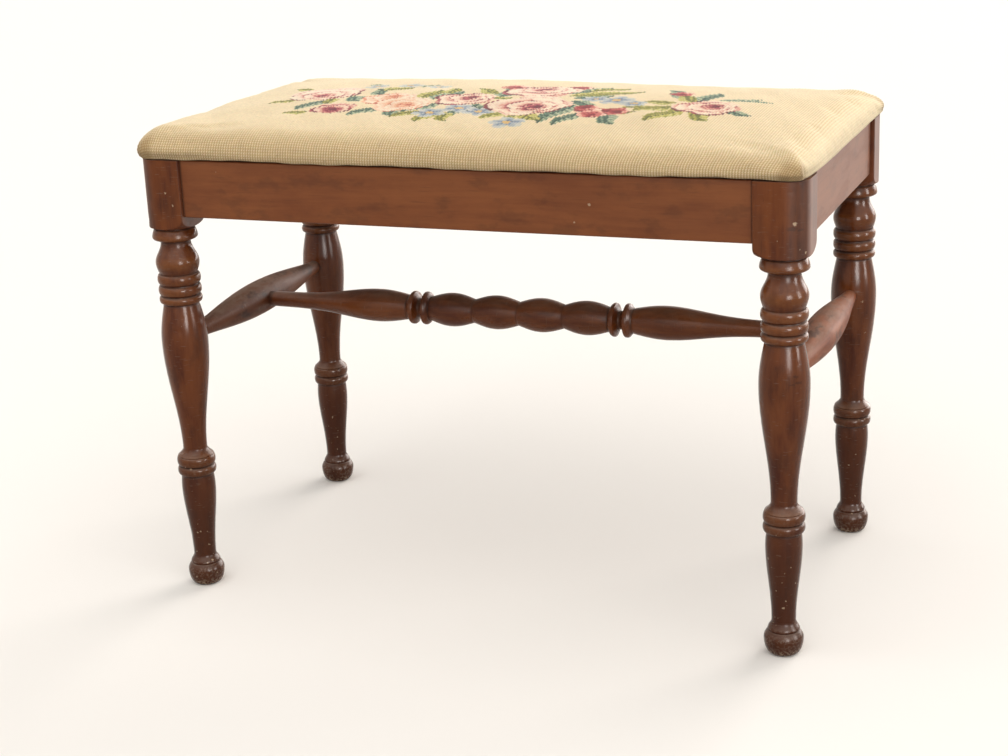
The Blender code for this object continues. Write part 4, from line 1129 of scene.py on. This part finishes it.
def add_cover():
    """Two by two points for each stitch. One column of points stands up as yarn and leans from lower left to
    upper right, and the next sinks between. The hem runs on under the board, and a hidden panel in it closes
    the form."""
    stitches_x, stitches_y = round(2 * CLOTH_X / STITCH), round(2 * CLOTH_Y / STITCH)
    columns, rows = 2 * stitches_x, 2 * stitches_y
    across = (np.arange(columns) + 0.5) * STITCH / 2 - CLOTH_X
    along = (np.arange(rows) + 0.5) * STITCH / 2 - CLOTH_Y
    flat_x, flat_y = np.meshgrid(across, along, indexing="ij")
    column, row = np.indices((columns, rows))
    yarn, tail = column % 2 == 0, row % 2 == 1
    points, past = seat_surface(flat_x + np.where(tail, YARN_LEAN, -YARN_LEAN), flat_y)
    shift = finer(finer(settled(), columns).swapaxes(0, 1), rows).swapaxes(0, 1)
    points = points + shift * np.clip((UNDER_FROM - 0.002 - past) / 0.004, 0, 1)[..., None]
    normal = np.cross(np.gradient(points, axis=0), np.gradient(points, axis=1))
    normal /= np.linalg.norm(normal, axis=-1, keepdims=True) + 1e-12
    draw = np.random.default_rng(5)
    plump = draw.normal(0, 0.00005, (stitches_x, stitches_y)).repeat(2, 0).repeat(2, 1)
    relief = np.where(yarn, np.where(tail, YARN_TAIL, YARN_HEIGHT), GAP_DEPTH) + plump
    relief = relief * np.clip((UNDER_FROM - past) / 0.003, 0, 1)
    points = points + normal * relief[..., None]
    points[..., 2] = np.maximum(points[..., 2], COVER_BOTTOM)
    wool_and_shade = wool_and_shade_colours(flat_x, flat_y, yarn, tail, draw)
    index = np.arange(columns * rows).reshape(columns, rows)
    low_left, low_right = index[:-1, :-1], index[1:, :-1]
    high_right, high_left = index[1:, 1:], index[:-1, 1:]
    lower = np.stack([low_left, low_right, high_right], -1)
    upper = np.stack([low_left, high_right, high_left], -1)
    triangles = np.stack([lower, upper], 2).reshape(-1, 3)
    rim = np.concatenate([index[:-1, 0], index[-1, :-1], index[:0:-1, -1], index[0, :0:-1]])
    edge = points.reshape(-1, 3)[rim]
    hem = np.array([edge * (share_x, share_y, 1) + (0, 0, rise) for share_x, share_y, rise in (
        (0.985, 0.97, HEM_GAP), (HEM_X, HEM_Y, HEM_GAP), (HEM_X, HEM_Y, HEM_RISE))])
    rings = np.concatenate([rim, columns * rows + np.arange(3 * len(rim))]).reshape(4, -1)
    after = np.roll(rings, -1, axis=1)
    quads = np.stack([rings[:-1], rings[1:], after[1:], after[:-1]], -1).reshape(-1, 4)
    middle = columns * rows + 3 * len(rim)
    cap = np.stack([after[-1], rings[-1], np.full(len(rim), middle)], -1)
    panel = [[0, 0, edge[:, 2].mean() + HEM_RISE]]
    whole = np.concatenate([points.reshape(-1, 3), hem.reshape(-1, 3), panel])
    made = add_mesh("needlepoint_seat_cover", whole, quads, np.concatenate([triangles, cap]))
    colours = np.ones((len(whole), 4), np.float32)
    colours[:, :3] = CANVAS
    colours[:columns * rows, :3] = wool_and_shade.reshape(-1, 3)
    made.data.color_attributes.new("wool_and_shade", "FLOAT_COLOR", "POINT").data.foreach_set("color", colours.ravel())
    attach(made, "root")
    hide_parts("needlepoint_cover", "seat_padding")
    return made


def wool_material():
    """Wool yarn: each stitch's colour with its painted shade, a little dirtier in patches, with specks of
    soil on the sides and a fuzz of fine fibres."""
    made, tree, shader = new_material("wool_needlepoint")
    place = node(tree, "TexCoord").outputs["Object"]
    # Stitch colours with their painted shade.
    dye = node(tree, "Attribute", {"attribute_name": "wool_and_shade"}).outputs["Color"]
    patch = noise(place, 14.0, 5.0, 0.6)
    speck = noise(stretched(place, (1.0, 1.0, 1.6)), 95.0, 3.0, 0.6)
    on_side = mapped(facing(tree)[2], 0.75, 0.35)
    fibre = noise(place, 2400.0, 2.0, 0.6)
    colour = mixed(mapped(patch, 0.45, 0.75, 0.0, 0.10), dye, SOILED_WOOL)
    colour = mixed(times(mapped(speck, 0.66, 0.76, 0.0, 0.55), on_side), colour, WOOL_SPECKS)
    colour = mixed(mapped(fibre, 0.35, 0.65, 0.10, 0.0), colour, WOOL_SHADOW)
    feed(shader, Base_Color=colour, Roughness=mapped(fibre, 0.3, 0.7, 0.82, 0.95), Specular_IOR_Level=0.2,
         Sheen_Weight=0.15, Sheen_Roughness=0.5, Normal=raised(fibre, 0.4, 0.0002))
    return made


add_cover().data.materials.append(wool_material())


# Floor, light and camera. A pale floor before a pale backdrop, two tall soft lamps on the right that only
# make highlights, four wide far lights for the rest, and a camera where the photograph was taken from.
FLOOR = srgb(238, 234, 228)
FLOOR_BOUNCE = (0.22, 0.205, 0.19)
BACKDROP = srgb(254, 252, 246)
ROOM_LIGHT = (0.30, 0.30, 0.30)


def seen_directly(tree):
    """One for what the lens, a reflection or a clear piece looks at, and nought for light on its way round
    the room."""
    ray = node(tree, "LightPath").outputs
    seen = plus(ray["Is Camera Ray"], ray["Is Glossy Ray"], ray["Is Transmission Ray"])
    return maths("MINIMUM", seen, 1.0)


def pale_floor():
    """Plain pale paper. What the lens and reflections see is pale, and it throws less light back on the
    bench."""
    made, tree, shader = new_material("pale_floor")
    feed(shader, Base_Color=mixed(seen_directly(tree), FLOOR_BOUNCE, FLOOR), Roughness=0.9,
         Specular_IOR_Level=0.1)
    return made


FLOOR_REACH = 60.0
floor_corners = np.array([[-1, -1, 0], [1, -1, 0], [1, 1, 0], [-1, 1, 0]], float) * FLOOR_REACH
floor = add_mesh("floor", floor_corners, np.array([[0, 1, 2, 3]]), np.empty((0, 3), int))
floor.data.materials.append(pale_floor())

CAMERA_AZIMUTH = 21.7
LAMP_LOW = 0.30
LAMP_HIGH = 1.25
WINDOW_LIGHT = (1.0, 0.97, 0.94)


def add_lamp(name, right_of_camera, far, wide, power):
    """An upright soft lamp between two heights, at an angle to the right of the camera, that faces the
    bench. It only makes the long highlights on the turnings."""
    light = bpy.data.lights.new(name, "AREA")
    light.shape = "RECTANGLE"
    light.size, light.size_y = wide, LAMP_HIGH - LAMP_LOW
    light.energy = power
    light.color = WINDOW_LIGHT
    lamp = add_object(name, light)
    turn = math.radians(CAMERA_AZIMUTH + right_of_camera)
    lamp.location = (far * math.sin(turn), -far * math.cos(turn), (LAMP_LOW + LAMP_HIGH) / 2)
    lamp.rotation_euler = (math.pi / 2, 0.0, turn)
    lamp.visible_camera = False
    lamp.visible_diffuse = False


def add_sky(name, right_of_camera, height, spread, strength, colour):
    """Light from far away that comes from a wide patch of sky, at an angle to the right of the camera."""
    light = bpy.data.lights.new(name, "SUN")
    light.energy = strength
    light.angle = math.radians(spread)
    light.color = colour
    turn = math.radians(CAMERA_AZIMUTH + right_of_camera)
    add_object(name, light).rotation_euler = (math.radians(90 - height), 0.0, turn)


add_lamp("front_right_window", right_of_camera=17.0, far=2.5, wide=0.75, power=44.0)
add_lamp("right_window", right_of_camera=64.0, far=2.3, wide=0.50, power=30.0)
add_sky("front_light", right_of_camera=6.0, height=32.0, spread=80.0, strength=0.96, colour=(1.0, 0.97, 0.93))
add_sky("rear_right_light", right_of_camera=137.0, height=13.0, spread=46.0, strength=3.2,
        colour=(1.0, 0.94, 0.90))
add_sky("left_fill", right_of_camera=-60.0, height=25.0, spread=90.0, strength=0.45, colour=(1.0, 0.98, 0.96))
add_sky("overhead_light", right_of_camera=40.0, height=75.0, spread=120.0, strength=1.70,
        colour=(1.0, 0.99, 0.97))

world = bpy.data.worlds.new("studio")
bpy.context.scene.world = world
world.use_nodes = True
studio = world.node_tree
feed(studio.nodes["Background"], Color=mixed(seen_directly(studio), ROOM_LIGHT, BACKDROP))

CAMERA_PLACE = (0.63874, -1.66174, 0.74557)
CAMERA_RIGHT = (0.932759, 0.358111, -0.041445)
CAMERA_UP = (-0.070612, 0.294228, 0.953123)
CAMERA_BACK = (0.353518, -0.886107, 0.299731)
FOCAL_LENGTH = 68.37
SENSOR_WIDTH = 36.0
lens = bpy.data.cameras.new("photo_camera")
lens.lens = FOCAL_LENGTH
lens.sensor_width = SENSOR_WIDTH
camera = add_object("photo_camera", lens)
axes = np.eye(4)
axes[:3, 0], axes[:3, 1], axes[:3, 2], axes[:3, 3] = CAMERA_RIGHT, CAMERA_UP, CAMERA_BACK, CAMERA_PLACE
camera.matrix_world = Matrix(axes.tolist())
bpy.context.scene.camera = camera
bpy.context.scene.view_settings.view_transform = "Standard"
